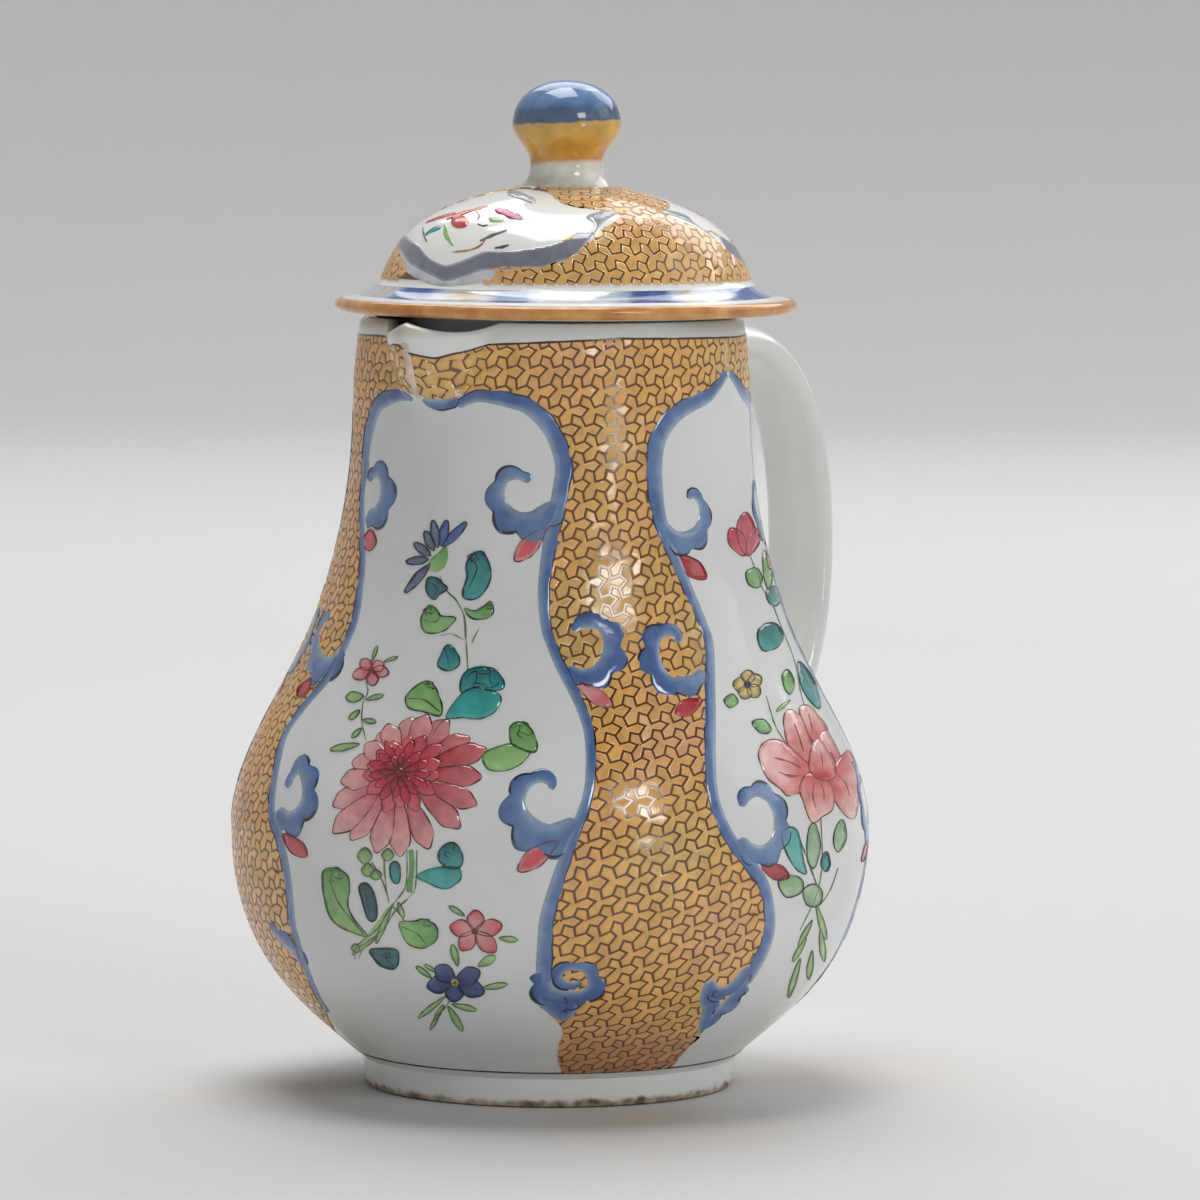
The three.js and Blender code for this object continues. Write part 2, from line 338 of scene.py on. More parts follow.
# %% Glaze materials
glaze_noise_scale = 70.0
glaze_peel_scale = 160.0
glaze_ior = 1.5
enamel_noise_scale = 520.0
enamel_peel_scale = 900.0
enamel_ior = 1.75


def started(name, roughness, ior):
    """A new material with its tree, its shader and its Object coordinates."""
    made = bpy.data.materials.new(name)
    made.use_nodes = True
    tree = made.node_tree
    shader = tree.nodes["Principled BSDF"]
    shader.inputs["Roughness"].default_value = roughness
    shader.inputs["IOR"].default_value = ior
    return made, tree, shader, node(tree, "ShaderNodeTexCoord")


def peeled(tree, shader, place, scale, strength, distance):
    """A very fine bump, like the skin of an orange."""
    peel = node(tree, "ShaderNodeTexNoise", Scale=scale, Detail=2.0)
    bump = node(tree, "ShaderNodeBump", Strength=strength, Distance=distance)
    wire(
        tree,
        (place, "Object", peel, "Vector"),
        (peel, "Fac", bump, "Height"),
        (bump, "Normal", shader, "Normal"),
    )


def clouded(tree, shader, place, painted, scale, spread, light_shares):
    """Make a colour cloudy by a noise, and give it to the shader."""
    cloud = node(tree, "ShaderNodeTexNoise", Scale=scale, Detail=4.0)
    wash = node(
        tree, "ShaderNodeMapRange",
        From_Min=0.5 - spread, From_Max=0.5 + spread, To_Min=light_shares[0], To_Max=light_shares[1],
    )
    scaled = node(tree, "ShaderNodeVectorMath", operation="SCALE")
    wire(
        tree,
        (place, "Object", cloud, "Vector"),
        (cloud, "Fac", wash, "Value"),
        (painted, "Color", scaled, 0),
        (wash, "Result", scaled, "Scale"),
        (scaled, "Vector", shader, "Base Color"),
    )


def glaze_material(name, light, dark, roughness=0.1, grain=0.012):
    """A glazed surface whose colour drifts between two near tones."""
    made, tree, shader, place = started(name, roughness, glaze_ior)
    drift = node(tree, "ShaderNodeTexNoise", Scale=glaze_noise_scale, Detail=3.0)
    ramp = ramp_of(tree, ((0.3, dark), (0.7, light)))
    wire(
        tree,
        (place, "Object", drift, "Vector"),
        (drift, "Fac", ramp, "Fac"),
        (ramp, "Color", shader, "Base Color"),
    )
    peeled(tree, shader, place, glaze_peel_scale, grain * 10, grain * mm * 10)
    return made, tree, shader, place, ramp


white_light = (231, 234, 231)
white_dark = (222, 226, 224)
white_glaze = glaze_material("white_glaze", white_light, white_dark)[0]


def dressed(made, material, body, slot, *nodes):
    """Give a finished piece its material, its body and the nodes that it stands for."""
    made.data.materials.clear()
    made.data.materials.append(material)
    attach(made, body)
    if nodes:
        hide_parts(*nodes)


# %% [markdown]
# ## Body and beak
# The body is thrown: one half outline, turned. Two Bezier curves make it, one from
# the foot out to the belly and one from the belly in to the neck. The potter then
# pinches the beak out of the soft neck, so here too the beak is the same wall,
# pushed out. A separate spout could be joined on, but it would show a seam that
# the real jug does not have.


# %% Body and beak
def curve(start, start_pull, end_pull, end, steps):
    """Points on a Bezier curve, its ends included."""
    spots = []
    for k in range(steps + 1):
        t = k / steps
        weights = ((1 - t) ** 3, 3 * t * (1 - t) ** 2, 3 * t * t * (1 - t), t ** 3)
        corners = (start, start_pull, end_pull, end)
        spots.append(tuple(sum(w * c[axis] for w, c in zip(weights, corners)) for axis in (0, 1)))
    return spots


def moved_square(spots, distance):
    """The outline moved square to itself, inwards for an outline that climbs."""
    line = np.array(spots)
    along = np.gradient(line, axis=0)
    along = along / np.linalg.norm(along, axis=1)[:, None]
    return [tuple(s) for s in line + np.stack([-along[:, 1], along[:, 0]], 1) * distance]


foot_swing_share = 0.297
belly_low_share = 0.624
belly_high_share = 0.275
neck_pull_share = 0.645
neck_step_count = 16
foot_pull = (belly_radius - foot_radius) * foot_swing_share
belly_rise = belly_height - foot_height
neck_rise = neck_height - belly_height
lower_wall = curve(
    (foot_radius, foot_height),
    (foot_radius + foot_pull, foot_height + foot_pull),
    (belly_radius, belly_height - belly_rise * belly_low_share),
    (belly_radius, belly_height),
    30,
)
upper_wall = curve(
    (belly_radius, belly_height),
    (belly_radius, belly_height + neck_rise * belly_high_share),
    (neck_radius, neck_height - neck_rise * neck_pull_share),
    (neck_radius, neck_height),
    72,
)
lip_start = (mouth_radius, mouth_height - wall / 2)
neck_steps = [
    tuple(np.array(upper_wall[-1]) + (np.array(lip_start) - upper_wall[-1]) * k / neck_step_count)
    for k in range(1, neck_step_count + 1)
]
outer_wall = lower_wall + upper_wall[1:] + neck_steps
inner_wall = moved_square(outer_wall, wall)
lip = arc((mouth_radius - wall / 2, mouth_height - wall / 2), wall / 2, 0, 180, 10)[1:-1]
inside_floor = foot_recess + floor_thickness
inner_kept = [s for s in inner_wall if s[1] > inside_floor + wall][::-3]
ring_inner = foot_radius - foot_ring_width
foot_ring = [
    (0, foot_recess),
    (ring_inner - foot_round, foot_recess),
    (ring_inner, foot_recess - foot_round),
    (ring_inner, foot_round),
    (ring_inner + foot_round, 0),
    (foot_radius - foot_round * 2, 0),
    (foot_radius - foot_round, foot_round / 2),
    (foot_radius - foot_round / 2, foot_round * 2),
]
floor_reach = inner_kept[-1][0] - wall
floor_turn = [(floor_reach, inside_floor + wall / 4), (floor_reach - wall, inside_floor)]
body_outline = foot_ring + outer_wall + lip + inner_kept + floor_turn + [(0, inside_floor)]
jug_body = spin("jug_body", body_outline, (jug_x, 0), 420)

beak_reach = 6.2
beak_height = 11.4
beak_half_angle = math.radians(22)
beak_foot_half_angle = math.radians(4)
beak_lip_dip = 1.2
beak_angle = math.pi
nose_share = 0.16


def off_from(angle, middle):
    """How far an angle is from another, the short way round."""
    return (np.asarray(angle) - middle + math.pi) % math.tau - math.pi


def pinch(angle, height):
    """How far the beak pulls the wall out and down, at angles and heights."""
    climb = np.clip((height - (mouth_height - beak_height)) / beak_height, 0, 1)
    half = beak_foot_half_angle + (beak_half_angle - beak_foot_half_angle) * climb ** 0.6
    off = off_from(angle, beak_angle)
    across = np.minimum(np.abs(off) / half, 1)
    full = math.hypot(1, nose_share) - nose_share
    softened = (np.hypot(across, nose_share) - nose_share) / full
    out = beak_reach * np.sin(math.pi / 2 * climb) * np.clip(1 - softened, 0, 1) ** 1.15
    down = beak_lip_dip * climb * np.sin(math.pi * across)
    return out, down


def corners_of(made):
    """A mesh's corners as an array of millimetres."""
    spots = np.empty(len(made.data.vertices) * 3, dtype=np.float32)
    made.data.vertices.foreach_get("co", spots)
    return spots.reshape(-1, 3).astype(float) / mm


def set_corners(made, spots):
    """Put a mesh's corners where an array of millimetres says."""
    made.data.vertices.foreach_set("co", (spots * mm).astype(np.float32).ravel())
    made.data.update()


spots = corners_of(jug_body)
reach = np.hypot(spots[:, 0] - jug_x, spots[:, 1])
turn = np.arctan2(spots[:, 1], spots[:, 0] - jug_x)
out, down = pinch(turn, spots[:, 2])
wide = reach > ring_inner - wall
grow = np.where(wide, (reach + out) / np.maximum(reach, wall), 1)
spots[:, 0] = jug_x + (spots[:, 0] - jug_x) * grow
spots[:, 1] = spots[:, 1] * grow
spots[:, 2] -= np.where(wide, down, 0)
set_corners(jug_body, spots)
smooth(jug_body, 40)
print("body faces", len(jug_body.data.polygons))

# %% [markdown]
# The foot ring stood on the kiln shelf, so its edge carries no glaze: it is rough,
# and fired a warm brown where it met the glaze. Height on the piece tells where
# the bare clay is, and noise frays the line.

# %% Body glaze with a bare foot ring and painted shade under the rim
# Just under the rim, mostly on two opposite sides of the neck, the white is mixed towards tan. This tan is
# a painted shadow and a painted reflection of the brim on the neck.
lip_shade = 0.8
lip_facing = math.radians(300)
lip_shade_low = 2.2
lip_shade_high = 0.6
brim_shade_colour = (150, 116, 74)
bare_low = 1.5
bare_high = 2.1
bare_fray = 1.6
bare_fray_scale = 420.0
bare_roughness = 0.8
glaze_roughness = 0.1
body_glaze, tree, shader, place, ramp = glaze_material("body_glaze", white_light, white_dark)
apart = node(tree, "ShaderNodeSeparateXYZ")
fray = node(tree, "ShaderNodeTexNoise", Scale=bare_fray_scale, Detail=4.0)
level = node(tree, "ShaderNodeMath", operation="MULTIPLY_ADD")
level.inputs[1].default_value = bare_fray * mm
bare = node(
    tree, "ShaderNodeMapRange", From_Min=bare_low * mm, From_Max=bare_high * mm, To_Min=1, To_Max=0
)
under_brim = node(
    tree, "ShaderNodeMapRange",
    From_Min=(mouth_height - lip_shade_low) * mm, From_Max=(mouth_height - lip_shade_high) * mm,
    To_Max=lip_shade,
)
facing = node(tree, "ShaderNodeVectorMath", operation="DOT_PRODUCT")
facing.inputs[1].default_value = (math.cos(lip_facing), math.sin(lip_facing), 0)
either_side = node(tree, "ShaderNodeMath", operation="ABSOLUTE")
turned_to = node(
    tree, "ShaderNodeMapRange", From_Min=neck_radius * 0.45 * mm, From_Max=neck_radius * 0.9 * mm
)
shaded = node(tree, "ShaderNodeMath", operation="MULTIPLY")
painted_brim_shade = node(tree, "ShaderNodeMix", data_type="RGBA")
painted_brim_shade.inputs[7].default_value = (*linear(brim_shade_colour), 1)
clay = ramp_of(tree, ((0.35, (96, 76, 58)), (0.62, (190, 178, 158))))
blend = node(tree, "ShaderNodeMix", data_type="RGBA")
rough = node(tree, "ShaderNodeMapRange", To_Min=glaze_roughness, To_Max=bare_roughness)
wire(
    tree,
    (place, "Object", apart, 0),
    (place, "Object", fray, "Vector"),
    (fray, "Fac", level, 0),
    (apart, "Z", level, 2),
    (level, 0, bare, "Value"),
    (place, "Object", facing, 0),
    (facing, "Value", either_side, 0),
    (either_side, 0, turned_to, "Value"),
    (apart, "Z", under_brim, "Value"),
    (under_brim, "Result", shaded, 0),
    (turned_to, "Result", shaded, 1),
    (shaded, 0, painted_brim_shade, 0),
    (ramp, "Color", painted_brim_shade, 6),
    (fray, "Fac", clay, "Fac"),
    (bare, "Result", blend, 0),
    (painted_brim_shade, 2, blend, 6),
    (clay, "Color", blend, 7),
    (blend, 2, shader, "Base Color"),
    (bare, "Result", rough, "Value"),
    (rough, "Result", shader, "Roughness"),
)
dressed(jug_body, body_glaze, "jug", "enamelled_body", "thrown_body", "beak_spout")

# %% [markdown]
# ## Handle
# The handle is a pulled strap of oval section. It leaves the neck just under the
# rim, arches over, drops and tucks back into the belly. A curve with a bevel could
# make it, but its ends would not flare, so a straight bar is extruded step by step
# and then bent along the same curve that the solid follows.

# %% Handle
handle_reach = handle_high[0] / mm - jug_x
strap_thickness = 5.0
strap_width = 10.6
handle_top = mouth_height - 7.6
handle_middle = 70.2
handle_foot = 43.8
handle_arch = 9.6
root_depth = wall / 2
bar_steps = 72
flare = 0.32
flare_reach = 0.16


def radius_at(height):
    """The body's outer radius at a height."""
    line = np.array(outer_wall)
    return float(np.interp(height, line[:, 1], line[:, 0]))


top_root = radius_at(handle_top) - root_depth
foot_root = radius_at(handle_foot) - root_depth
outer_run = handle_reach - strap_thickness / 2
handle_path = np.array(
    curve(
        (top_root, handle_top),
        (top_root + (outer_run - top_root) * 0.66, handle_top + handle_arch),
        (outer_run, handle_middle + (handle_top - handle_middle) * 0.83),
        (outer_run, handle_middle),
        60,
    )
    + curve(
        (outer_run, handle_middle),
        (outer_run, handle_middle - (handle_middle - handle_foot) * 0.455),
        (foot_root + (outer_run - foot_root) * (1 - 0.975 / 4), handle_foot),
        (foot_root, handle_foot),
        50,
    )[1:]
)

bpy.ops.object.select_all(action="DESELECT")
bpy.ops.mesh.primitive_circle_add(vertices=40, radius=mm, fill_type="NGON", location=(0, 0, 0))
handle = bpy.context.object
handle.name = "jug_handle"
bpy.ops.object.mode_set(mode="EDIT")
for step in range(bar_steps):
    bpy.ops.mesh.extrude_region_move(TRANSFORM_OT_translate={"value": (0, 0, mm)})
bpy.ops.mesh.select_all(action="SELECT")
bpy.ops.mesh.normals_make_consistent(inside=False)
bpy.ops.object.mode_set(mode="OBJECT")

spots = corners_of(handle)
share = spots[:, 2] / bar_steps
lengths = np.concatenate([[0], np.cumsum(np.hypot(*np.diff(handle_path, axis=0).T))])
along = share * lengths[-1]
path_x = np.interp(along, lengths, handle_path[:, 0])
path_z = np.interp(along, lengths, handle_path[:, 1])
slope = np.gradient(handle_path, axis=0)
slope = slope / np.linalg.norm(slope, axis=1)[:, None]
slope_x = np.interp(along, lengths, slope[:, 0])
slope_z = np.interp(along, lengths, slope[:, 1])
to_end = np.minimum(share, 1 - share) / flare_reach
swell = 1 + flare * np.clip(1 - to_end, 0, 1) ** 2
thick = spots[:, 0] * strap_thickness / 2 * swell
broad = spots[:, 1] * strap_width / 2 * swell
bent = np.stack([jug_x + path_x - slope_z * thick, broad, path_z + slope_x * thick], 1)
set_corners(handle, bent)
bpy.ops.object.mode_set(mode="EDIT")
bpy.ops.mesh.select_all(action="SELECT")
bpy.ops.mesh.normals_make_consistent(inside=False)
bpy.ops.object.mode_set(mode="OBJECT")
smooth(handle, 40)
dressed(handle, white_glaze, "jug", "white_glaze", "strap_handle")
print("handle faces", len(handle.data.polygons))

# %% [markdown]
# ## Cover
# The cover is thrown upside down: a brim that curls up to the foot of a low dome.
# Under it a ring keeps it over the mouth. Both are spun outlines again. The knob is
# a ball drawn into a neck, and its foot spreads into the dome, so its outline
# starts a little below the dome's surface.

# %% Cover, ring and knob
brim_radius = (dome_high[1] - dome_low[1]) / 2 / mm
brim_under = dome_low[2] / mm
brim_thickness = 2.1
brim_edge_lift = 0.3
dome_foot_radius = 24.95
dome_foot = brim_under + 4.5
dome_top = dome_foot + 12.9
knob_radius = (knob_high[1] - knob_low[1]) / 2 / mm
knob_foot_radius = 6.6
knob_neck_radius = 4.9
knob_neck = knob_low[2] / mm + 2.4
knob_top = knob_high[2] / mm
cover_wall = 2.4
ring_low, ring_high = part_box("cover_locating_ring")
ring_outer = (ring_high[1] - ring_low[1]) / 2 / mm
ring_wall = 2.2
cover_centre = (cover_x, cover_y)

edge_high = (brim_radius - brim_thickness / 2, brim_under + brim_thickness)
edge_low = (brim_radius - brim_thickness / 2, brim_under + brim_edge_lift)
brim_width = edge_high[0] - dome_foot_radius
brim_rise = dome_foot - edge_high[1]
brim_line = curve(
    edge_high,
    (edge_high[0] - brim_width * 0.42, edge_high[1]),
    (dome_foot_radius + brim_width * 0.14, edge_high[1] + brim_rise / 2),
    (dome_foot_radius, dome_foot),
    12,
)
dome_rise = dome_top - dome_foot
dome_line = curve(
    (dome_foot_radius, dome_foot),
    (dome_foot_radius * 0.89, dome_foot + dome_rise * 0.55),
    (dome_foot_radius * 0.78, dome_foot + dome_rise * 0.76),
    (knob_neck_radius, dome_top),
    40,
)
edge_middle = ((edge_high[0] + edge_low[0]) / 2, (edge_high[1] + edge_low[1]) / 2)
edge_round = arc(edge_middle, (edge_high[1] - edge_low[1]) / 2, -90, 90, 10)
dome_inside = [s for s in moved_square(dome_line, cover_wall) if s[0] > 0][::-2]
under_brim = [(ring_outer - ring_wall, brim_under + cover_wall), (ring_outer - ring_wall, brim_under)]
cover_outline = (
    [(0, dome_inside[0][1])]
    + dome_inside
    + under_brim
    + [(mouth_radius, brim_under)]
    + edge_round
    + brim_line[1:]
    + dome_line[1:]
    + [(0, dome_top)]
)
cover_shell = spin("cover_shell", cover_outline, cover_centre, 240)
smooth(cover_shell, 40)

ring_edge = ring_wall / 4
ring_bottom = ring_low[2] / mm
ring_outline = [
    (ring_outer - ring_wall, brim_under),
    (ring_outer - ring_wall, ring_bottom + ring_edge),
    (ring_outer - ring_wall + ring_edge, ring_bottom),
    (ring_outer - ring_edge, ring_bottom),
    (ring_outer, ring_bottom + ring_edge),
    (ring_outer, brim_under),
    (ring_outer - ring_wall, brim_under),
]
cover_ring = spin("cover_ring", ring_outline, cover_centre, 128)
smooth(cover_ring, 50)

widest = knob_low[2] / mm + (knob_top - knob_low[2] / mm) * 0.56
bowl = widest - knob_neck
crown = knob_top - widest
knob_base = dome_top - wall / 4
knob_outline = (
    [(0, knob_base)]
    + curve(
        (knob_foot_radius, knob_base),
        (knob_neck_radius + wall / 4, dome_top + wall / 8),
        (knob_neck_radius, dome_top + wall / 3),
        (knob_neck_radius, knob_neck),
        12,
    )
    + curve(
        (knob_neck_radius, knob_neck),
        (knob_neck_radius, knob_neck + bowl * 0.42),
        (knob_radius, widest - bowl * 0.42),
        (knob_radius, widest),
        16,
    )[1:]
    + curve(
        (knob_radius, widest),
        (knob_radius, widest + crown * 0.6),
        (knob_radius * 0.6, knob_top),
        (0, knob_top),
        20,
    )[1:]
)
cover_knob = spin("cover_ball_knob", knob_outline, cover_centre, 96)
smooth(cover_knob, 50)
# The shell and the knob get their own materials in the last step. The shell's white there is lighter than
# the jug's, which is painted light.
dressed(cover_shell, white_glaze, "cover", "enamelled_cover", "cover_dome")
dressed(cover_ring, white_glaze, "cover", "white_glaze", "cover_locating_ring")
dressed(cover_knob, white_glaze, "cover", "blue_knob", "cover_knob")

# %% [markdown]
# ## Enamel
# The painter works over the glaze with glassy colours, which melt onto it as thin
# raised films. A picture wrapped around the jug would lie flat, so each touch of
# the brush is made as a very thin closed solid that follows the surface.
# Two brush tools are enough: a sheet fills an outline, and a ribbon follows a path.

# %% A surface that can be painted
class Surface:
    """A turned surface, where a spot is an angle and a run along the outline."""

    def __init__(self, line, centre, pinched, flat):
        self.radii, self.heights = np.array(line).T
        steps = np.hypot(np.diff(self.radii), np.diff(self.heights))
        self.runs = np.concatenate([[0], np.cumsum(steps)])
        self.centre = centre
        self.pinched = pinched
        self.flat = flat

    def radius(self, run):
        return np.interp(run, self.runs, self.radii)

    def height(self, run):
        return np.interp(run, self.runs, self.heights)

    def run_at(self, height):
        return float(np.interp(height, self.heights, self.runs))

    def point(self, angle, run):
        radius, height = self.radius(run), self.height(run)
        if self.pinched:
            out, down = pinch(angle, height)
            radius, height = radius + out, height - down
        x = self.centre[0] + radius * np.cos(angle)
        y = self.centre[1] + radius * np.sin(angle)
        return np.stack([x, y, height], -1)

    def place(self, angle, run, lift):
        """Spots raised along the surface's normal, and those normals."""
        small_angle, small_run = 0.003, 0.08
        around = self.point(angle + small_angle, run) - self.point(angle - small_angle, run)
        along = self.point(angle, run + small_run) - self.point(angle, run - small_run)
        normal = np.cross(around, along)
        normal = normal / np.linalg.norm(normal, axis=-1, keepdims=True)
        return self.point(angle, run) + normal * np.asarray(lift)[..., None], normal

    def gap(self, spots):
        """How far spots are in front of the surface, and their angle and run."""
        x, y = spots[..., 0] - self.centre[0], spots[..., 1] - self.centre[1]
        reach, angle = np.hypot(x, y), np.arctan2(y, x) % math.tau
        if self.flat:
            run = np.interp(-reach, -self.radii, self.runs)
            return spots[..., 2] - self.height(run), angle, run
        run = np.interp(spots[..., 2], self.heights, self.runs)
        out = pinch(angle, spots[..., 2])[0] if self.pinched else 0
        return reach - self.radius(run) - out, angle, run

    def stretch(self, path):
        """What turns steps of (angle, run) along a path into millimetres."""
        reach = self.radius(path[:, 1])
        return np.stack([reach, np.ones_like(reach)], 1)

    def steps(self, path):
        """The steps of a path of (angle, run), in millimetres."""
        return np.diff(path, axis=0) * self.stretch(path)[1:]

    def heading(self, path, closed=False):
        """The direction of a path at each of its spots."""
        if closed:
            step = np.roll(path, -1, 0) - np.roll(path, 1, 0)
            step[:, 0] = off_from(step[:, 0], 0)
        else:
            step = np.gradient(path, axis=0)
        step = step * self.stretch(path)
        return step / np.maximum(np.linalg.norm(step, axis=1), mm ** 2)[:, None]

    def seen(self, pixels):
        """Angle and run of the spots that the camera sees at some pixels."""
        pixels = np.asarray(pixels, float)
        across = (pixels[:, :1] - picture_size / 2) / focal_in_pixels
        over = (pixels[:, 1:] + picture_size / 2) / focal_in_pixels
        rays = ahead + rightward * across + upward * over
        rays = rays / np.linalg.norm(rays, axis=1)[:, None]
        depths = np.linspace(view_distance - belly_radius * 2, view_distance + belly_radius * 2, 700)
        gaps = self.gap(eye + rays[:, None, :] * depths[None, :, None])[0]
        inside = gaps < 0
        first = np.where(inside.any(1), inside.argmax(1), gaps.argmin(1))
        first = np.maximum(first, 1)
        rows = np.arange(len(pixels))
        before, after = gaps[rows, first - 1], gaps[rows, first]
        share = np.where(inside.any(1), before / np.maximum(before - after, mm), 1)
        depth = depths[first - 1] + (depths[first] - depths[first - 1]) * np.clip(share, 0, 1)
        angle, run = self.gap(eye + rays * depth[:, None])[1:]
        return np.stack([angle, run], 1)


jug_skin = Surface([foot_ring[-1]] + outer_wall, (jug_x, 0), True, False)
cover_skin = Surface(brim_line + dome_line[1:], cover_centre, False, True)
print("jug run", jug_skin.runs[-1], "cover run", cover_skin.runs[-1])

# %% [markdown]
# The touches of one kind are gathered in a layer, which becomes one piece. Each
# corner carries its colour in an attribute, and its normal follows the surface, with
# a tilt at the edge of a touch, where the melted enamel is rounded.


# %% A layer of enamel touches
class Layer:
    """Thin closed shapes, gathered into one piece."""

    def __init__(self, name):
        self.name = name
        self.spots, self.normals, self.colours, self.faces = [], [], [], []
        self.count = 0

    def add(self, spots, normals, colours, faces, corner_normals=None):
        """Take in a closed shape; its corners' normals may differ from face to face."""
        if corner_normals is None:
            corner_normals = normals[[corner for face in faces for corner in face]]
        self.spots.append(spots)
        self.normals.append(corner_normals)
        self.colours.append(colours)
        self.faces += [[c + self.count for c in face] for face in faces]
        self.count += len(spots)

    def piece(self, body, slot, material):
        spots = np.concatenate(self.spots) * mm
        normals = np.concatenate(self.normals)
        colours = np.concatenate(self.colours)
        mesh = bpy.data.meshes.new(self.name)
        mesh.from_pydata(spots.tolist(), [], self.faces)
        paint = mesh.attributes.new("enamel", "FLOAT_COLOR", "POINT")
        shown = np.concatenate([colours, np.ones((len(colours), 1))], 1)
        paint.data.foreach_set("color", shown.astype(np.float32).ravel())
        mesh.polygons.foreach_set("use_smooth", [True] * len(mesh.polygons))
        mesh.normals_split_custom_set(normals.tolist())
        made = bpy.data.objects.new(self.name, mesh)
        bpy.context.collection.objects.link(made)
        dressed(made, material, body, slot)
        print(self.name, "faces", len(mesh.polygons))
        return made


sunk = -0.04
edge_drop = 0.012
edge_tilt = 0.75


def tilted(normals, outward, tilt):
    """Normals leaned towards the outward side."""
    leaned = normals + outward * np.asarray(tilt)[..., None]
    return leaned / np.linalg.norm(leaned, axis=-1, keepdims=True)


# %% [markdown]
# A sheet fills a closed outline. The outline is given flat, either in pixels of the
# photograph or on an unrolled strip, and a function carries it onto the surface.
# Corners inside the outline let the sheet follow the curve and change its colour.


# %% The sheet
def inside_of(outline, spots):
    """Which flat spots lie inside a closed outline."""
    x, y = spots[:, None, 0], spots[:, None, 1]
    start, end = outline, np.roll(outline, -1, 0)
    crosses = (start[None, :, 1] > y) != (end[None, :, 1] > y)
    rise = end[:, 1] - start[:, 1]
    rise = np.where(np.abs(rise) < mm, mm, rise)
    at = start[None, :, 0] + (y - start[None, :, 1]) * (end - start)[None, :, 0] / rise[None, :]
    return (crosses & (x < at)).sum(1) % 2 == 1


def to_edge(outline, spots):
    """Distance of flat spots from a closed outline."""
    start, side = outline[None], (np.roll(outline, -1, 0) - outline)[None]
    offset = spots[:, None] - start
    share = (offset * side).sum(2) / np.maximum((side ** 2).sum(2), mm ** 2)
    nearest = offset - side * np.clip(share, 0, 1)[..., None]
    return np.hypot(nearest[..., 0], nearest[..., 1]).min(1)


def area_of(outline):
    """Signed area of a closed flat outline."""
    ahead_of = np.roll(outline, -1, 0)
    return ((outline[:, 0] * ahead_of[:, 1]) - (outline[:, 1] * ahead_of[:, 0])).sum() / 2


def grid_in(outline, spacing):
    """Corners of a triangle grid inside a closed flat outline."""
    low, high = outline.min(0), outline.max(0)
    across = np.arange(low[0] + spacing / 2, high[0], spacing)
    over = np.arange(low[1] + spacing / 2, high[1], spacing * 0.866)
    grid = np.array([(x + spacing / 2 * (k % 2), y) for k, y in enumerate(over) for x in across])
    grid = grid.reshape(-1, 2)
    grid = grid[inside_of(outline, grid)]
    return grid[to_edge(outline, grid) > spacing * 0.55]


def sheet(layer, surface, outline, carry, colour_of, lift, spacing, turns=((1, 0),), bent=None):
    """Fill a flat closed outline with a thin solid on a surface, once for each turn."""
    outline = np.asarray(outline, float)
    if area_of(outline) < 0:
        outline = outline[::-1]
    grid = grid_in(outline, spacing)
    if bent is not None:
        fine = grid_in(outline, spacing / 2)
        grid = np.concatenate([grid[~bent(grid)], fine[bent(fine)]])
    flat = np.concatenate([outline, grid])
    given = [tuple(spot) for spot in flat]
    made = geometry.delaunay_2d_cdt(given, [], [list(range(len(outline)))], 1, mm / 100)
    flat = np.array([tuple(spot) for spot in made[0]])
    faces = [list(face) for face in made[2]]
    faces = [face if area_of(flat[face]) > 0 else face[::-1] for face in faces]
    sides = {(a, b) for face in faces for a, b in zip(face, face[1:] + face[:1])}
    rim = [(a, b) for a, b in sides if (b, a) not in sides]
    if not rim:
        return
    on_rim = np.zeros(len(flat), bool)
    on_rim[[a for a, b in rim]] = True
    seen = carry(flat)
    colours = colour_of(flat, to_edge(outline, flat))
    lifts = np.where(on_rim, max(lift - edge_drop, lift / 2), lift)
    count = len(flat)
    whole = faces + [[c + count for c in face][::-1] for face in faces]
    whole += [[b, a, a + count, b + count] for a, b in rim]
    for sign, shift in turns:
        angle = seen[:, 0] * sign + shift
        spots, normals = surface.place(angle, seen[:, 1], lifts)
        below = surface.place(angle, seen[:, 1], np.full(count, sunk))[0]
        outward = np.zeros_like(spots)
        for a, b in rim:
            side = np.cross(spots[b] - spots[a], normals[a]) * sign
            outward[a] += side
            outward[b] += side
        size = np.linalg.norm(outward, axis=1, keepdims=True)
        outward = outward / np.maximum(size, mm)
        leaned = tilted(normals, outward, np.where(on_rim, edge_tilt, 0))
        turned_faces = whole if sign > 0 else [face[::-1] for face in whole]
        layer.add(
            np.concatenate([spots, below]),
            np.concatenate([leaned, leaned]),
            np.concatenate([colours, colours]),
            turned_faces,
        )


# %% [markdown]
# A ribbon follows a path with a cross-section. A thin pen line has a plain one, and
# the thick blue borders have a rounded one, so that they catch the light.


# %% The ribbon
# A cord raised more than this lies over a hollow, and its underside is bent to it.
hollow_lift = 0.2
pen_shares = ((-1, 0.1), (-0.55, 1), (0.55, 1), (1, 0.1))
cord_shares = ((-1, 0.1), (-0.84, 0.7), (-0.6, 0.92), (-0.2, 1), (0.25, 1), (0.62, 0.9), (0.86, 0.66),
               (1, 0.1))


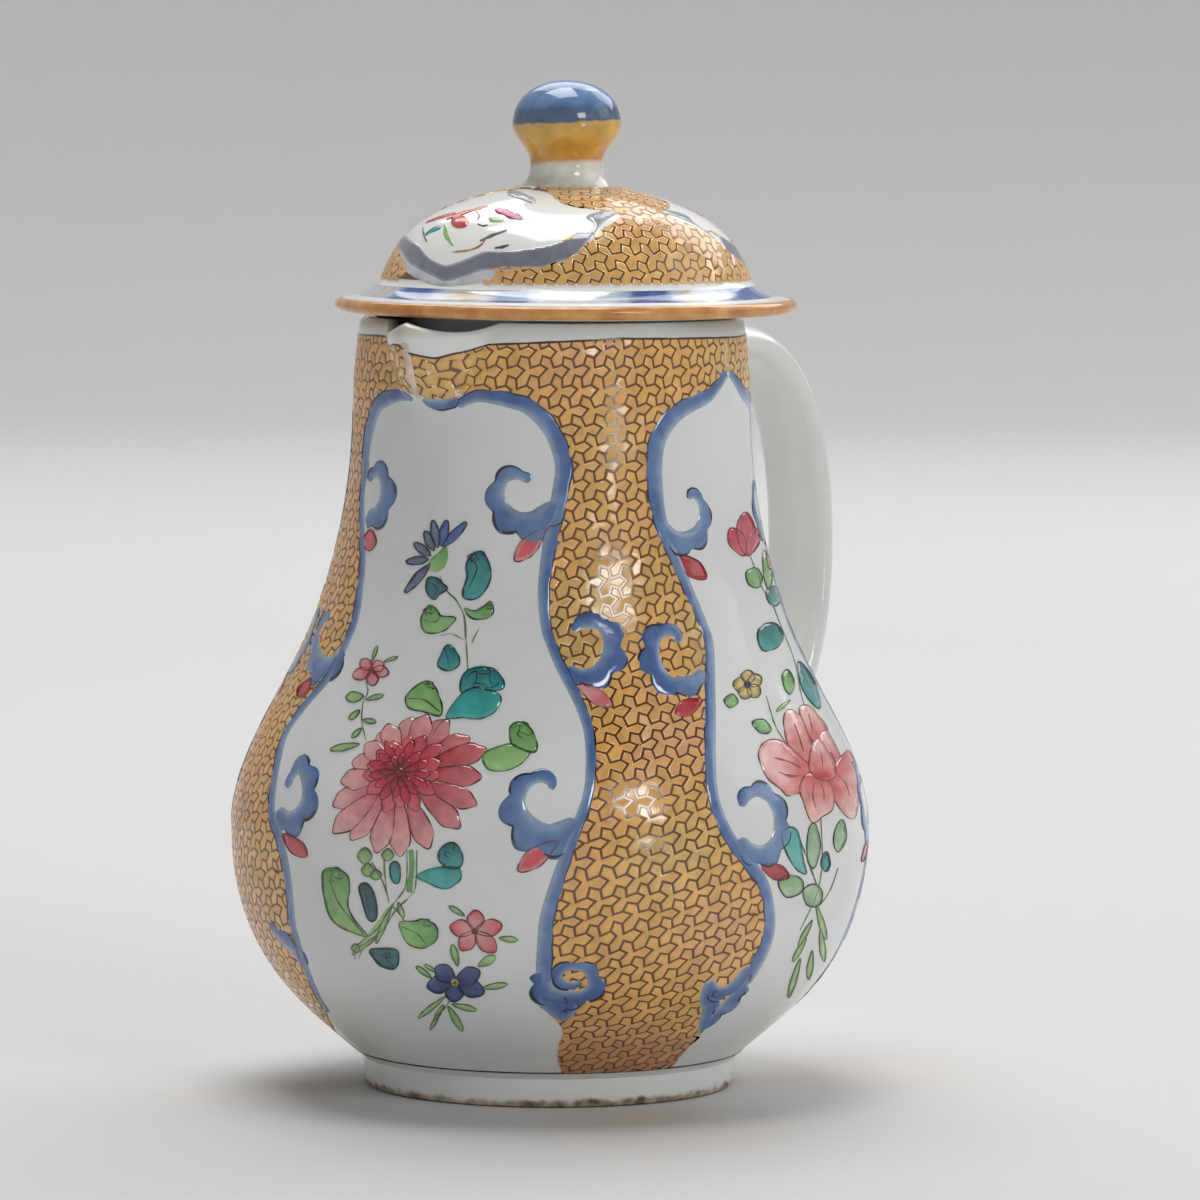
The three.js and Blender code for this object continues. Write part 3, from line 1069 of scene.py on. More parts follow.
def ribbon(layer, surface, path, half_width, colour_of, lift, shares=pen_shares, closed=False,
           tilt=edge_tilt):
    """A raised line along spots of (angle, run).

    At each spot it has one half width, or a right and a left one.
    """
    angle, run = path[:, 0], path[:, 1]
    reach = surface.radius(run)
    step = surface.heading(path, closed)
    over_hollow = shares is not pen_shares and (closed or lift > hollow_lift)
    under = (1, 0.6, 0.2, -0.2, -0.6, -1) if over_hollow else (1, -1)
    side_share = np.array([s for s, l in shares] + list(under), float)
    lift_share = np.array([l for s, l in shares])
    half_width = np.asarray(half_width, float).reshape(len(path), -1)
    off = np.where(side_share[None] < 0, half_width[:, :1], half_width[:, -1:]) * side_share[None]
    angles = angle[:, None] - step[:, 1:] * off / reach[:, None]
    heights = run[:, None] + step[:, :1] * off
    lifts = np.concatenate([lift_share * lift, [sunk] * len(under)])[None] + np.zeros_like(off)
    spots, normals = surface.place(angles, heights, lifts)
    side = spots[:, len(shares) - 1] - spots[:, 0]
    side = side / np.maximum(np.linalg.norm(side, axis=1), mm ** 2)[:, None]
    leaned = tilted(normals, side[:, None, :], (side_share ** 3 * tilt)[None] + np.zeros_like(off))
    along = np.linspace(0, 1, len(path))
    zeros = np.zeros_like(off)
    colours = colour_of(along[:, None] + zeros, side_share[None] + zeros, angles, heights)
    wide = len(side_share)
    count = len(path)
    faces = []
    for row in range(count if closed else count - 1):
        here, there = row * wide, (row + 1) % count * wide
        for k in range(wide):
            after = (k + 1) % wide
            faces.append([here + k, there + k, there + after, here + after])
    if not closed:
        faces.append(list(range(wide)))
        faces.append([(count - 1) * wide + k for k in range(wide)][::-1])
    layer.add(spots.reshape(-1, 3), leaned.reshape(-1, 3), colours.reshape(-1, 3), faces)


def flow(points, spacing, closed=False):
    """A smooth curve through given points, with even steps."""
    points = np.asarray(points, float)
    if closed:
        padded = np.concatenate([points[-1:], points, points[:2]])
    else:
        padded = np.concatenate([points[:1] * 2 - points[1:2], points, points[-1:] * 2 - points[-2:-1]])
    share = np.linspace(0, 1, 17)[:-1, None]
    spots = []
    for before, start, end, after in zip(padded, padded[1:], padded[2:], padded[3:]):
        bend = (
            start * 2
            + (end - before) * share
            + (before * 2 - start * 5 + end * 4 - after) * share ** 2
            + (start * 3 - before - end * 3 + after) * share ** 3
        )
        spots.append(bend / 2)
    spots = np.concatenate(spots + [padded[-2:-1]])
    lengths = np.concatenate([[0], np.cumsum(np.hypot(*np.diff(spots, axis=0).T))])
    count = max(int(lengths[-1] / spacing) + 1, 4)
    at = np.linspace(0, lengths[-1], count + 1 if closed else count)
    even = np.stack([np.interp(at, lengths, spots[:, k]) for k in (0, 1)], 1)
    return even[:-1] if closed else even


def rounded_ends(path, half_width, surface, start=True, end=True):
    """Half widths that close a ribbon's ends in a round."""
    lengths = np.concatenate([[0], np.cumsum(np.hypot(*surface.steps(path).T))])
    near = np.full(len(path), np.inf)
    if start:
        near = np.minimum(near, lengths)
    if end:
        near = np.minimum(near, lengths[-1] - lengths)
    left = np.clip(1 - near / np.maximum(half_width, mm), 0, 1)
    return half_width * np.maximum(np.sqrt(1 - left ** 2), 0.15)


# %% [markdown]
# ## Enamel colours
# Overglaze enamels are coloured glass: an ochre ground, a thick blue, a pink from
# gold, two greens and a brown-black for the drawing. Each piece of enamel reads its
# colour from its corners, and a noise makes it cloudy, as a hand-laid film is.


# %% Enamel material
def enamel_material(name, roughness):
    """Coloured glass, cloudy by a noise, that reads the corners' colours."""
    made, tree, shader, place = started(name, roughness, enamel_ior)
    paint = node(tree, "ShaderNodeAttribute", attribute_name="enamel")
    clouded(tree, shader, place, paint, enamel_noise_scale, 0.25, (0.82, 1.16))
    peeled(tree, shader, place, enamel_peel_scale, 0.25, mm / 20)
    return made


ground_enamel = enamel_material("ground_enamel", 0.13)
thick_enamel = enamel_material("thick_enamel", 0.1)

ochre = hue(234, 178, 98)
ochre_pink = hue(226, 170, 120)
ochre_green = hue(214, 180, 108)
ochre_brown = hue(190, 122, 62)
sepia = hue(112, 70, 38)
ink = hue(38, 36, 44)
red_ink = hue(110, 40, 42)
blue_deep = hue(74, 104, 162)
blue_mid = hue(104, 134, 178)
blue_pale = hue(156, 176, 198)
pink = hue(206, 118, 128)
pink_pale = hue(226, 176, 174)
rose = hue(190, 62, 82)
soft_rose = hue(214, 88, 96)
crimson = hue(160, 38, 46)
teal_dark = hue(34, 108, 112)
teal = hue(72, 170, 166)
teal_pale = hue(112, 190, 184)
leaf_green = hue(104, 162, 90)
leaf_pale = hue(156, 200, 130)
olive = hue(134, 156, 108)
yellow = hue(216, 190, 110)


def noise_at(spots, size, seed=0.0):
    """A smooth noise from -1 to 1 at some spots, over a size in millimetres."""
    flat = np.asarray(spots, float).reshape(-1, 3) / size + seed
    values = [noise.noise(spot) for spot in flat.tolist()]
    return np.array(values).reshape(np.shape(spots)[:-1])


def flat_spots(across, along):
    """Flat spots at height zero, for a noise."""
    return np.stack([across, along, np.zeros_like(along)], -1)


def mix(first, second, share):
    """Colours between two, by shares from 0 to 1."""
    share = np.clip(share, 0, 1)[..., None]
    return first * (1 - share) + second * share


# %% [markdown]
# ## Panels
# Four white panels are left free around the body: one under the beak, one at each
# side and one behind the handle. Their edges were read from the photograph, where
# they can be seen, and are carried onto the surface. The two that face away are the
# same shapes turned by half a turn, as a workshop would repeat them.

# %% Panel outlines
half_turn = math.pi
side_angle = math.radians(280)

front_left_flank = (
    (305, 965), (297, 940), (292, 920), (288, 880), (280, 840), (273, 820), (272, 800), (276, 770),
    (285, 735), (305, 705), (330, 675), (345, 645), (355, 620), (360, 590), (363, 560), (362, 530),
)
front_left_pixels = (
    (352, 1062), (340, 1040), (325, 1010), *front_left_flank, (363, 480), (366, 430), (370, 415),
    (378, 400), (395, 392), (405, 390), (425, 397), (440, 402),
)
front_right_flank = (
    (556, 515), (549, 550), (544, 590), (546, 625), (552, 645), (562, 669), (578, 700), (589, 732),
    (591, 770), (587, 800), (574, 835), (565, 860), (555, 890), (547, 920), (545, 950),
)
front_right_pixels = (
    (440, 402), (455, 399), (468, 393), (484, 391), (503, 397), (522, 404), (537, 413), (549, 426),
    (558, 444), (563, 465), (561, 485), *front_right_flank, (544, 980), (546, 1002), (556, 1020),
    (563, 1031), (559, 1045), (558, 1060), (563, 1075),
)
side_left_flank = (
    (742, 986), (754, 968), (764, 948), (769, 928), (768, 902), (762, 882), (748, 863), (732, 842),
    (719, 816), (712, 790), (710, 760), (710, 690), (709, 645), (702, 622), (686, 585), (671, 550),
    (660, 520),
)
side_left_pixels = (
    (672, 1068), (682, 1054), (696, 1040), (704, 1030), (714, 1014), (727, 1002), *side_left_flank,
    (654, 490), (653, 465), (657, 442), (667, 424), (680, 410), (694, 402), (708, 393), (718, 380),
    (726, 372),
)


def read_path(surface, pixels, spacing=3.0):
    """Given pixels as a smooth path of (angle, run) on a surface."""
    return surface.seen(flow([(x, -y) for x, y in pixels], spacing))


def mirrored(path, middle):
    """A path reflected about an angle, and reversed so that its left side stays left."""
    return (path * (-1, 1) + (middle * 2, 0))[::-1]


front_left = read_path(jug_skin, front_left_pixels)
front_right = read_path(jug_skin, front_right_pixels)
side_left = read_path(jug_skin, side_left_pixels)
side_right = mirrored(side_left, side_angle)
print("front panel angles", np.degrees(front_left[:, 0].min()), np.degrees(front_right[:, 0].max()))

foot_line_height = 4.9
foot_run = jug_skin.run_at(foot_line_height)
neck_line_degrees = (0, 100, 140, 155, 169, 176, 179, 181, 187, 191, 197, 220, 238, 290, 360)
neck_line_heights = (
    101.5, 101.4, 101.3, 101.5, 101.5, 101.4, 100.9, 100.0, 99.9, 100.6, 100.9, 101.4, 101.8, 101.4, 101.5,
)


def neck_run(angle):
    """Run of the brown line under the rim, at an angle."""
    degrees = np.degrees(angle) % 360
    heights = np.interp(degrees, neck_line_degrees, neck_line_heights)
    return np.interp(heights, jug_skin.heights, jug_skin.runs)


def stretched(path, angle_shift, low):
    """A panel's side, turned, and carried down to a run below the foot line."""
    path = path + (angle_shift, 0)
    if path[0, 1] < path[-1, 1]:
        return np.concatenate([[(path[0, 0], low)], path])
    return np.concatenate([path, [(path[-1, 0], low)]])


below_foot = foot_run - 2 * floor_thickness
panels = []
for left, right, shift in (
    (front_left, front_right, 0),
    (side_left, side_right, 0),
    (front_left, front_right, half_turn),
    (side_left, side_right, half_turn),
):
    panels.append((stretched(left, shift, below_foot), stretched(right, shift, below_foot)))

# %% [markdown]
# ## The ochre ground
# The ground is drawn first as a net of brown lines, and then every gap of the net
# is filled with a drop of ochre. The net is a lattice of interlocking Ys. So a thin
# brown sheet is laid over each band between two panels, and the Ys are set on it as
# raised tiles, a little smaller than their cells, which leaves the lines free.
# A Y fits its neighbours exactly because each arm's tip is a neighbour's notch.

# %% The Y cell
tiles_around = 58
tile_pitch = math.tau * neck_radius / tiles_around
tile_rise = 2.52
line_width = 0.225
notch_share = 0.18
arm_lean_shares = ((0.0, 0.09), (0.05, 0.0), (0.0, 0.0))
tile_slope = 0.05


def unit_cell():
    """Corners of one Y on a lattice of unit pitch."""
    corners = []
    for k in range(3):
        lean = np.array(arm_lean_shares[k])
        notch_lean = np.array(arm_lean_shares[(k + 2) % 3])
        angle = math.tau * k / 3
        turned_by = np.array(((math.cos(angle), math.sin(angle)), (-math.sin(angle), math.cos(angle))))
        low, tip, high = (0.5, -0.5 / math.sqrt(3)), (1 - notch_share, 0), (0.5, 0.5 / math.sqrt(3))
        notch = (notch_share / 2, notch_share * math.sqrt(3) / 2)
        corners += [
            np.array(low) @ turned_by,
            np.array(tip) @ turned_by + lean,
            np.array(high) @ turned_by,
            np.array(notch) @ turned_by + notch_lean,
        ]
    return np.array(corners)


def inset(rings, distance):
    """Closed rings of corners, each moved inwards square to its sides."""
    side = np.roll(rings, -1, 1) - rings
    side = side / np.linalg.norm(side, axis=2, keepdims=True)
    inward = np.stack([-side[..., 1], side[..., 0]], -1)
    before = np.roll(inward, 1, 1)
    corner = inward + before
    size = (corner ** 2).sum(2, keepdims=True)
    return rings + corner * 2 * distance / np.maximum(size, 0.5)


def clipped(ring, room):
    """The part of a ring where the room is above zero."""
    kept = []
    count = len(ring)
    for k in range(count):
        here, there = room[k], room[(k + 1) % count]
        if here > 0:
            kept.append(ring[k])
        if (here > 0) != (there > 0):
            kept.append(ring[k] + (ring[(k + 1) % count] - ring[k]) * here / (here - there))
    return np.array(kept)


def clearance(surface, outlines, low, high_of):
    """How far a spot is from outlines to keep free, and from the two edge lines."""

    def room(angle, run):
        nearest = np.minimum(run - low, high_of(angle) - run)
        for outline in outlines:
            middle = (outline[:, 0].min() + outline[:, 0].max()) / 2
            off = off_from(angle, middle)
            flat = np.stack([off * surface.radius(run), run], -1)
            edge = np.stack([(outline[:, 0] - middle) * surface.radius(outline[:, 1]), outline[:, 1]], -1)
            away = to_edge(edge, flat)
            nearest = np.minimum(nearest, np.where(inside_of(edge, flat), -away, away))
        return nearest

    return room


# %% [markdown]
# The lattice is laid on an unrolled strip. At the neck the strip is exactly as long
# as the neck is round, so the pattern meets itself. Lower down the cells may grow
# a little, as the painter lets them, and a slow noise makes the rows wander.


# %% Laying the tiles
tile_height = 0.09
tile_brim_share = 0.8
tile_round = 0.13
tile_sway = 0.05
tile_wander = 0.45
wander_size = 5.0
tile_tremble = 0.14
tremble_size = 0.9
beak_reach_angle = math.radians(25)
beak_run = jug_skin.run_at(mouth_height - beak_height)


def on_beak(angle, run):
    """Which spots lie where the beak bends the wall."""
    off = off_from(angle, beak_angle)
    return (np.abs(off) < beak_reach_angle) & (run > beak_run)


# One seed, so that every run gives the tiles the same tones and tilts.
random.seed(tiles_around)


def lay_tiles(layer, surface, centres, carry, room, tint, gap_width=line_width):
    """Set a raised Y at every centre that has room, clipped at the edges."""
    centres = np.array(centres)
    scale = np.array((tile_pitch, tile_rise / (math.sqrt(3) / 2)))
    cells = centres[:, None] + unit_cell()[None] * scale
    flat = flat_spots(cells[..., 0], cells[..., 1])
    wander = np.stack([noise_at(flat, wander_size, 3.1), noise_at(flat, wander_size, 17.7)], -1)
    tremble = np.stack([noise_at(flat, tremble_size, 5.3), noise_at(flat, tremble_size, 29.1)], -1)
    cells = cells + wander * tile_wander + tremble * tile_tremble
    crests = carry(inset(cells, gap_width / 2 + tile_slope + tile_round))
    tops = carry(inset(cells, gap_width / 2 + tile_slope))
    feet = carry(inset(cells, gap_width / 2))
    rooms = room(tops[..., 0].ravel(), tops[..., 1].ravel()).reshape(tops.shape[:2])
    for crest, top, foot, free in zip(crests, tops, feet, rooms):
        if not (free > 0).any():
            continue
        if (free <= 0).any():
            crest, top, foot = clipped(crest, free), clipped(top, free), clipped(foot, free)
        count = len(top)
        if surface.pinched and on_beak(top[:, 0], top[:, 1]).all():
            tone = tint(surface.point(top[:, 0], top[:, 1]).mean(0))
            sheet(
                layer, surface, foot * (neck_radius, 1), lambda flat: flat / (neck_radius, 1),
                lambda flat, edge: np.tile(tone, (len(flat), 1)), tile_height, 0.5,
            )
            continue
        high, normals = surface.place(crest[:, 0], crest[:, 1], np.full(count, tile_height))
        brim = surface.place(top[:, 0], top[:, 1], np.full(count, tile_height * tile_brim_share))[0]
        low = surface.place(foot[:, 0], foot[:, 1], np.full(count, sunk))[0]
        outward = high - high.mean(0)
        outward = outward / np.maximum(np.linalg.norm(outward, axis=1, keepdims=True), mm)
        sway = np.array([random.gauss(0, tile_sway) for axis in range(3)])
        flat_top = tilted(normals, sway[None] + np.zeros_like(normals), 1.0)
        rounded = tilted(normals, outward, 0.8)
        slope = tilted(normals, outward, 1.6)
        after = [(k + 1) % count for k in range(count)]
        ring = [[k, k + count, after[k] + count, after[k]] for k in range(count)]
        side = [[k + count, k + count * 2, after[k] + count * 2, after[k] + count] for k in range(count)]
        faces = [list(range(count)), list(range(count * 2, count * 3))[::-1]] + ring + side
        per_corner = np.concatenate([flat_top, rounded, slope])
        corner_normals = per_corner[[corner for face in faces for corner in face]]
        colour = np.tile(tint(high.mean(0)), (count * 3, 1))
        layer.add(np.concatenate([high, brim, low]), per_corner, colour, faces, corner_normals)


# Low on the belly the ochre is darkened towards brown: painted shade on the underside of the jug.
foot_shade_height = 11.0
foot_shade_span = 7.0


def ochre_at(spot):
    """The ochre's tone at a spot: it drifts over the jug, differs from drop to drop, and is darkened
    towards brown low on the belly as painted shade.
    """
    drift = noise_at(np.array([spot]), 14.0, 8.8)[0]
    tone = mix(ochre, ochre_pink, np.array(max(drift, 0) * 1.6))
    tone = mix(tone, ochre_green, np.array(max(-drift, 0) * 1.6))
    foot_shade = (foot_shade_height - spot[2]) / foot_shade_span
    tone = mix(tone, ochre_brown, np.array(foot_shade))
    return tone * random.uniform(0.93, 1.06)


def sepia_at(spots):
    """The tone of the brown net at some spots."""
    drift = noise_at(spots, 3.0, 2.2)[..., None]
    return sepia * (1 + drift * 0.35)


grid_radius = 30.0
net_lift = 0.03
net_spacing = 0.9
edge_step = 0.8
strip_reach = 36
strip_growth = 0.25
row_slant = 0.1
slant_top = 85
slant_span = 60
ground_degrees = (235, 325, 415, 505)
jug_net = Layer("jug_net")
jug_tiles = Layer("jug_ochre_tiles")


def strip_scale(run):
    """Length on the strip for one radian, at a run."""
    grown = np.maximum(jug_skin.radius(run), neck_radius) / neck_radius
    return neck_radius * grown / (1 + strip_growth * (grown - 1))


def along_line(start, end, run_of, step):
    """Spots of a line around the jug between two angles."""
    angles = np.linspace(start, end, max(int(abs(end - start) * neck_radius / step), 2))[1:-1]
    return np.stack([angles, run_of(angles)], 1)


outlines = [np.concatenate(sides) for sides in panels]
body_room = clearance(jug_skin, outlines, foot_run, neck_run)
for k, middle in enumerate(np.radians(ground_degrees).tolist()):
    right_of, left_of = panels[k][1], panels[(k + 1) % 4][0] + ((math.tau, 0) if k == 3 else (0, 0))
    start, end = right_of[0, 0], left_of[-1, 0]
    over = along_line(start, end, neck_run, edge_step)
    corners = np.array([[start, neck_run(start)]]), np.array([[end, neck_run(end)]])
    up = right_of[right_of[:, 1] > foot_run][::-1]
    down = left_of[left_of[:, 1] > foot_run][::-1]
    under = along_line(down[-1, 0], up[0, 0], lambda a: np.full_like(a, foot_run), edge_step)
    outline = np.concatenate([up, corners[0], over, corners[1], down, under])
    flat_outline = (outline - (middle, 0)) * (grid_radius, 1)

    def carry_net(flat, middle=middle):
        return flat / (grid_radius, 1) + (middle, 0)

    def net_colour(flat, edge):
        return sepia_at(flat_spots(flat[:, 0], flat[:, 1]))

    def bent_net(flat, middle=middle):
        seen = carry_net(flat, middle)
        return on_beak(seen[:, 0], seen[:, 1])

    sheet(jug_net, jug_skin, flat_outline, carry_net, net_colour, net_lift, net_spacing, bent=bent_net)
    strip_middle = neck_radius * middle
    first_column = int((strip_middle - strip_reach) / tile_pitch)
    columns = range(first_column, int((strip_middle + strip_reach) / tile_pitch) + 1)
    centres = []
    for row in range(int(jug_skin.runs[-1] / tile_rise) + 1):
        for column in columns:
            x = (column + 0.5 * (row % 2)) * tile_pitch
            angle = middle + (x - strip_middle) / strip_scale(row * tile_rise)
            if abs(angle - middle) < math.pi / 4 + 1e-9:
                centres.append((x, row * tile_rise))

    def carry_tile(flat, middle=middle):
        off = flat[..., 0] - neck_radius * middle
        run = flat[..., 1] + off * row_slant * np.clip((slant_top - flat[..., 1]) / slant_span, 0, 1)
        return np.stack([middle + off / strip_scale(run), run], -1)

    lay_tiles(jug_tiles, jug_skin, centres, carry_tile, body_room, ochre_at)
print("tiles' corners", jug_tiles.count)

# %% [markdown]
# ## Blue borders
# Each panel is framed by a thick blue cord of enamel that curls into scrolls, as a
# carved frame does. The cord is darkest along its outer side, where the painter
# drew it, and fades to a pale grey-blue towards the white panel. A bevelled curve
# would stand too high, so the cord is a low ribbon with a rounded section.


# %% Cord tool
def cord_colour(seed, depth=0.5):
    """The blue of a cord: dark on its right side, pale on its left one."""

    def colour_of(along, across, angles, runs):
        spots = flat_spots(angles * grid_radius, runs)
        drift = noise_at(spots, 5.0, seed) * 0.8 + noise_at(spots, 1.4, seed + 3) * 0.35
        tone = mix(blue_deep, blue_mid, depth + drift + 0.25 * across)
        tone = mix(tone, blue_pale, np.clip(across - 0.1, 0, 1) * 1.1 + 0.2 * drift)
        rim = np.clip((-across - 0.74) * 3.0, 0, 0.8) * np.clip(0.4 + drift * 3, 0, 1)
        return mix(tone, ink, rim)

    return colour_of


jug_cords = Layer("jug_blue_cords")
jug_touches = Layer("jug_flower_touches")
jug_lines = Layer("jug_pen_lines")
far_side = ((1, 0), (1, half_turn))


def plain(colour):
    """A colour for every corner of a ribbon, slightly uneven."""

    def colour_of(along, across, angles, runs):
        spots = flat_spots(angles * grid_radius, runs)
        return colour * (1 + noise_at(spots, 1.2, 6.6)[..., None] * 0.3)

    return colour_of


def beside(surface, path, half, side):
    """A path moved sideways on a surface: side -1 is its right edge, 1 its left one."""
    step = surface.heading(path)
    off = half * side
    return np.stack([path[:, 0] - step[:, 1] * off / surface.radius(path[:, 1]),
                     path[:, 1] + step[:, 0] * off], 1)


# How the brush lays its enamel, in millimetres and shares.
cord_growth = 1.3
border_growth = 1.04
pen_step = 0.006
pen_lift = 0.145
pen_width = 0.2
cord_lift = 0.125
border_spacing = 2.4
blot_lift = 0.02
fill_lift = 0.075
fill_step = 0.0035
fill_levels = 14
lobe_length = 3.4
lobe_share = 0.2
bend_share = 0.75
bend_span = 5
blot_step = 3.6
blot_width = 0.42


class Brush:
    """Paints on one surface: fills, pen lines and cords read from pixels."""

    def __init__(self, surface, touches, lines, cords, turns, middle=None):
        self.surface, self.touches, self.lines, self.cords = surface, touches, lines, cords
        self.turns = turns
        self.middle = middle
        self.laid = 0

    def places(self, path):
        """A path at each of the brush's turns, and mirrored where it mirrors."""
        paths = [path]
        if self.middle is not None:
            paths.append(mirrored(path, self.middle))
        return [one + (shift, 0) for one in paths for sign, shift in self.turns]

    def border(self, points, width, seed, depth=0.5, start=True, end=True, lift=cord_lift):
        """A long, even cord, as the one along a panel's edge."""
        self.cord(points, width, seed, start, end, depth, border_spacing, lift, lobed=False)

    def cord(self, points, width, seed, start=True, end=True, depth=0.5, spacing=2.2, lift=cord_lift,
             lobed=True):
        """A blue cord with lobes and dark blots along its outer, right edge."""
        path = read_path(self.surface, points, spacing)
        half = np.interp(np.linspace(0, 1, len(path)), np.linspace(0, 1, len(width)), np.array(width) / 2)
        half = half * (cord_growth if lobed else border_growth)
        steps = self.surface.steps(path)
        way = np.concatenate([[0], np.cumsum(np.hypot(*steps.T))])
        lobes = np.abs(np.sin(way / lobe_length * math.pi + seed))
        swell = half * (lobe_share if lobed else lobe_share / 5) * (2 * lobes - 0.6)
        heading = np.unwrap(np.arctan2(steps[:, 1], steps[:, 0]))
        bend = np.gradient(heading) / np.maximum(np.hypot(*steps.T), mm)
        bend = np.convolve(np.append(bend, bend[-1]), np.ones(bend_span) / bend_span, "same")
        excess = np.clip(half - bend_share / np.maximum(bend, mm), 0, half * 0.8)
        closing = rounded_ends(path, half, self.surface, start, end) / half
        both = np.stack([half + swell * 2, half - excess], 1) * closing[:, None]
        maker = random.Random(seed)
        blots = []
        at = maker.uniform(0.3, 1) * blot_step
        while at < way[-1] - blot_step / 2:
            length = maker.uniform(1.2, 2.8) if lobed else maker.uniform(2, 7)
            inside = (way > at) & (way < at + length)
            if inside.sum() > 2:
                blot_here = blot_width if lobed else blot_width * 0.6
                blots.append((inside, maker.uniform(0.6, 1.3) * blot_here / 2))
            at += blot_step * maker.uniform(0.6, 1.5) if lobed else length + maker.uniform(0.2, 2.5)
        for k, one in enumerate(self.places(path)):
            flip = self.middle is not None and k >= len(self.turns)
            width_here = both[::-1] if flip else both
            ribbon(self.cords, self.surface, one, width_here, cord_colour(seed, depth), lift, cord_shares)
            for inside, blot_half in blots:
                inside = inside[::-1] if flip else inside
                edge = beside(self.surface, one, width_here[:, 0], -0.86)[inside]
                swell = blot_half * np.sin(np.linspace(0.1, 0.9, len(edge)) * math.pi)
                ribbon(self.lines, self.surface, edge, swell, plain(ink), lift + blot_lift)

    def pen(self, points, width=pen_width, colour=ink, closed=False, spacing=2.6, taper=True,
            lift=pen_lift):
        """A brush line whose width swells and thins along its way."""
        path = self.surface.seen(flow([(x, -y) for x, y in points], spacing, closed))
        along = flat_spots(path[:, 0] * grid_radius, path[:, 1])
        unrest = 1.9 * min(1, 0.25 / width)
        half = width / 2 * np.clip(0.95 + noise_at(along, 1.1, self.laid * 0.71 + 0.3) * unrest, 0.2, 1.6)
        if taper and not closed:
            half = half * (0.35 + 0.65 * np.sin(np.linspace(0.08, 0.97, len(path)) * math.pi))
        self.laid += 1
        for k, one in enumerate(self.places(path)):
            flip = self.middle is not None and k >= len(self.turns)
            half_here = half[::-1] if flip else half
            ribbon(self.lines, self.surface, one, half_here, plain(colour), lift, pen_shares, closed)

    def fill(self, points, first, second, toward=(0, 1), spacing=3.6, edge=None, step=2.0, lift=None):
        """Fill an outline with a colour that runs from the first to the second."""
        outline = flow([(x, -y) for x, y in points], step, True)
        toward = np.array((toward[0], -toward[1]), float)
        toward = toward / np.linalg.norm(toward)
        far = outline @ toward
        low, high = far.min(), far.max()
        seed = float(self.laid) * 1.7

        def colour_of(flat, away):
            share = (flat @ toward - low) / (high - low)
            cloud = noise_at(flat_spots(flat[:, 0], flat[:, 1]), 9.0, seed)
            tone = mix(first, second, share + cloud * 0.3)
            if edge is not None:
                tone = mix(edge, tone, away / 3.0)
            return tone

        self.laid += 1
        raised = fill_lift + fill_step * (self.laid % fill_levels) if lift is None else lift
        turns = list(self.turns)
        if self.middle is not None:
            turns += [(-1, self.middle * 2 + shift) for sign, shift in self.turns]
        sheet(self.touches, self.surface, outline, self.surface.seen, colour_of, raised, spacing, turns)

    def petal(self, base, tip, width, first, second, outline=ink, full=0.62, line=0.14, edge=None,
              lift=None):
        """A petal or a bud from its base to its tip."""
        base, tip = np.array(base, float), np.array(tip, float)
        side = np.array((-(tip - base)[1], (tip - base)[0])) / np.linalg.norm(tip - base)
        spots = [base]
        for share, part in ((full * 0.45, 0.72), (full, 1.0), (0.9, 0.52)):
            spots.append(base + (tip - base) * share + side * width / 2 * part)
        spots.append(tip)
        for share, part in ((0.9, 0.52), (full, 1.0), (full * 0.45, 0.72)):
            spots.append(base + (tip - base) * share - side * width / 2 * part)
        self.fill(spots, first, second, tip - base, edge=edge, lift=lift)
        if line:
            self.pen(spots, line, outline, closed=True,
                     lift=pen_lift if lift is None else lift + pen_step)

    def leaf(self, points, first, second, toward=(0, 1), line=0.17, vein=None, outline=ink, lift=None):
        """A leaf with its pen outline and, where it has one, its vein."""
        above = pen_lift if lift is None else lift + pen_step
        self.fill(points, first, second, toward, lift=lift)
        self.pen(points, line, outline, closed=True, lift=above)
        if vein:
            self.pen(vein, line, outline, lift=above)

    def scribble(self, x, y, size, colour):
        """Small dark loops, as the painter marks the curled top of a leaf."""
        for turn in (0.3, 1.7, 3.2, 4.6):
            spots = [
                (x + size * s * math.cos(turn + a), y + size * s * 0.8 * math.sin(turn + a))
                for a, s in ((0, 0.95), (0.7, 0.75), (1.5, 0.35), (2.3, 0.6))
            ]
            self.pen(spots, 0.17, colour, spacing=1.5)

    def curled(self, lower, upper, light, dark):
        """A leaf that turns over: a light side below and a dark, scribbled one on top."""
        self.leaf(lower, light * 0.8, light * 1.15, (0, 1), outline=dark * 0.35)
        self.leaf(upper, dark, light * 0.9, (0, 1), outline=dark * 0.25)
        middle = np.mean(upper, 0)
        size = (max(x for x, y in upper) - min(x for x, y in upper)) * 0.42
        self.scribble(middle[0], min(y for x, y in upper) + size * 0.7, size, dark * 0.25)

    def bloom(self, centre, tips, width, first, second, eye, eye_width=7, outline=ink):
        """A small open flower: petals around an eye."""
        for tip in tips:
            self.petal(centre, tip, width, first, second, outline)
        ring = dot(*centre, eye_width / 2, eye_width / 2)
        self.fill(ring, eye, eye, lift=0.13)
        self.pen(ring, 0.12, outline, closed=True, lift=0.17)

    def sprig(self, base, tip, width, first=olive * 1.3, second=leaf_pale * 1.2):
        """A thin leaf on its own stalk."""
        self.petal(base, tip, width, first, second, outline=olive * 0.3, line=0.11)


# %% [markdown]
# The cords of the front panel come first: its two sides, the broken crown under the
# beak, and the scrolls, some on the white and some on the ochre.


# %% Cords of the front panel
def dot(x, y, wide, tall):
    """Corners of a small round dot, one radian apart."""
    return [(x + wide * math.cos(a), y + tall * math.sin(a)) for a in range(6)]


def jug_brush(turns=far_side, middle=None):
    """A brush that paints on the jug."""
    return Brush(jug_skin, jug_touches, jug_lines, jug_cords, turns, middle)


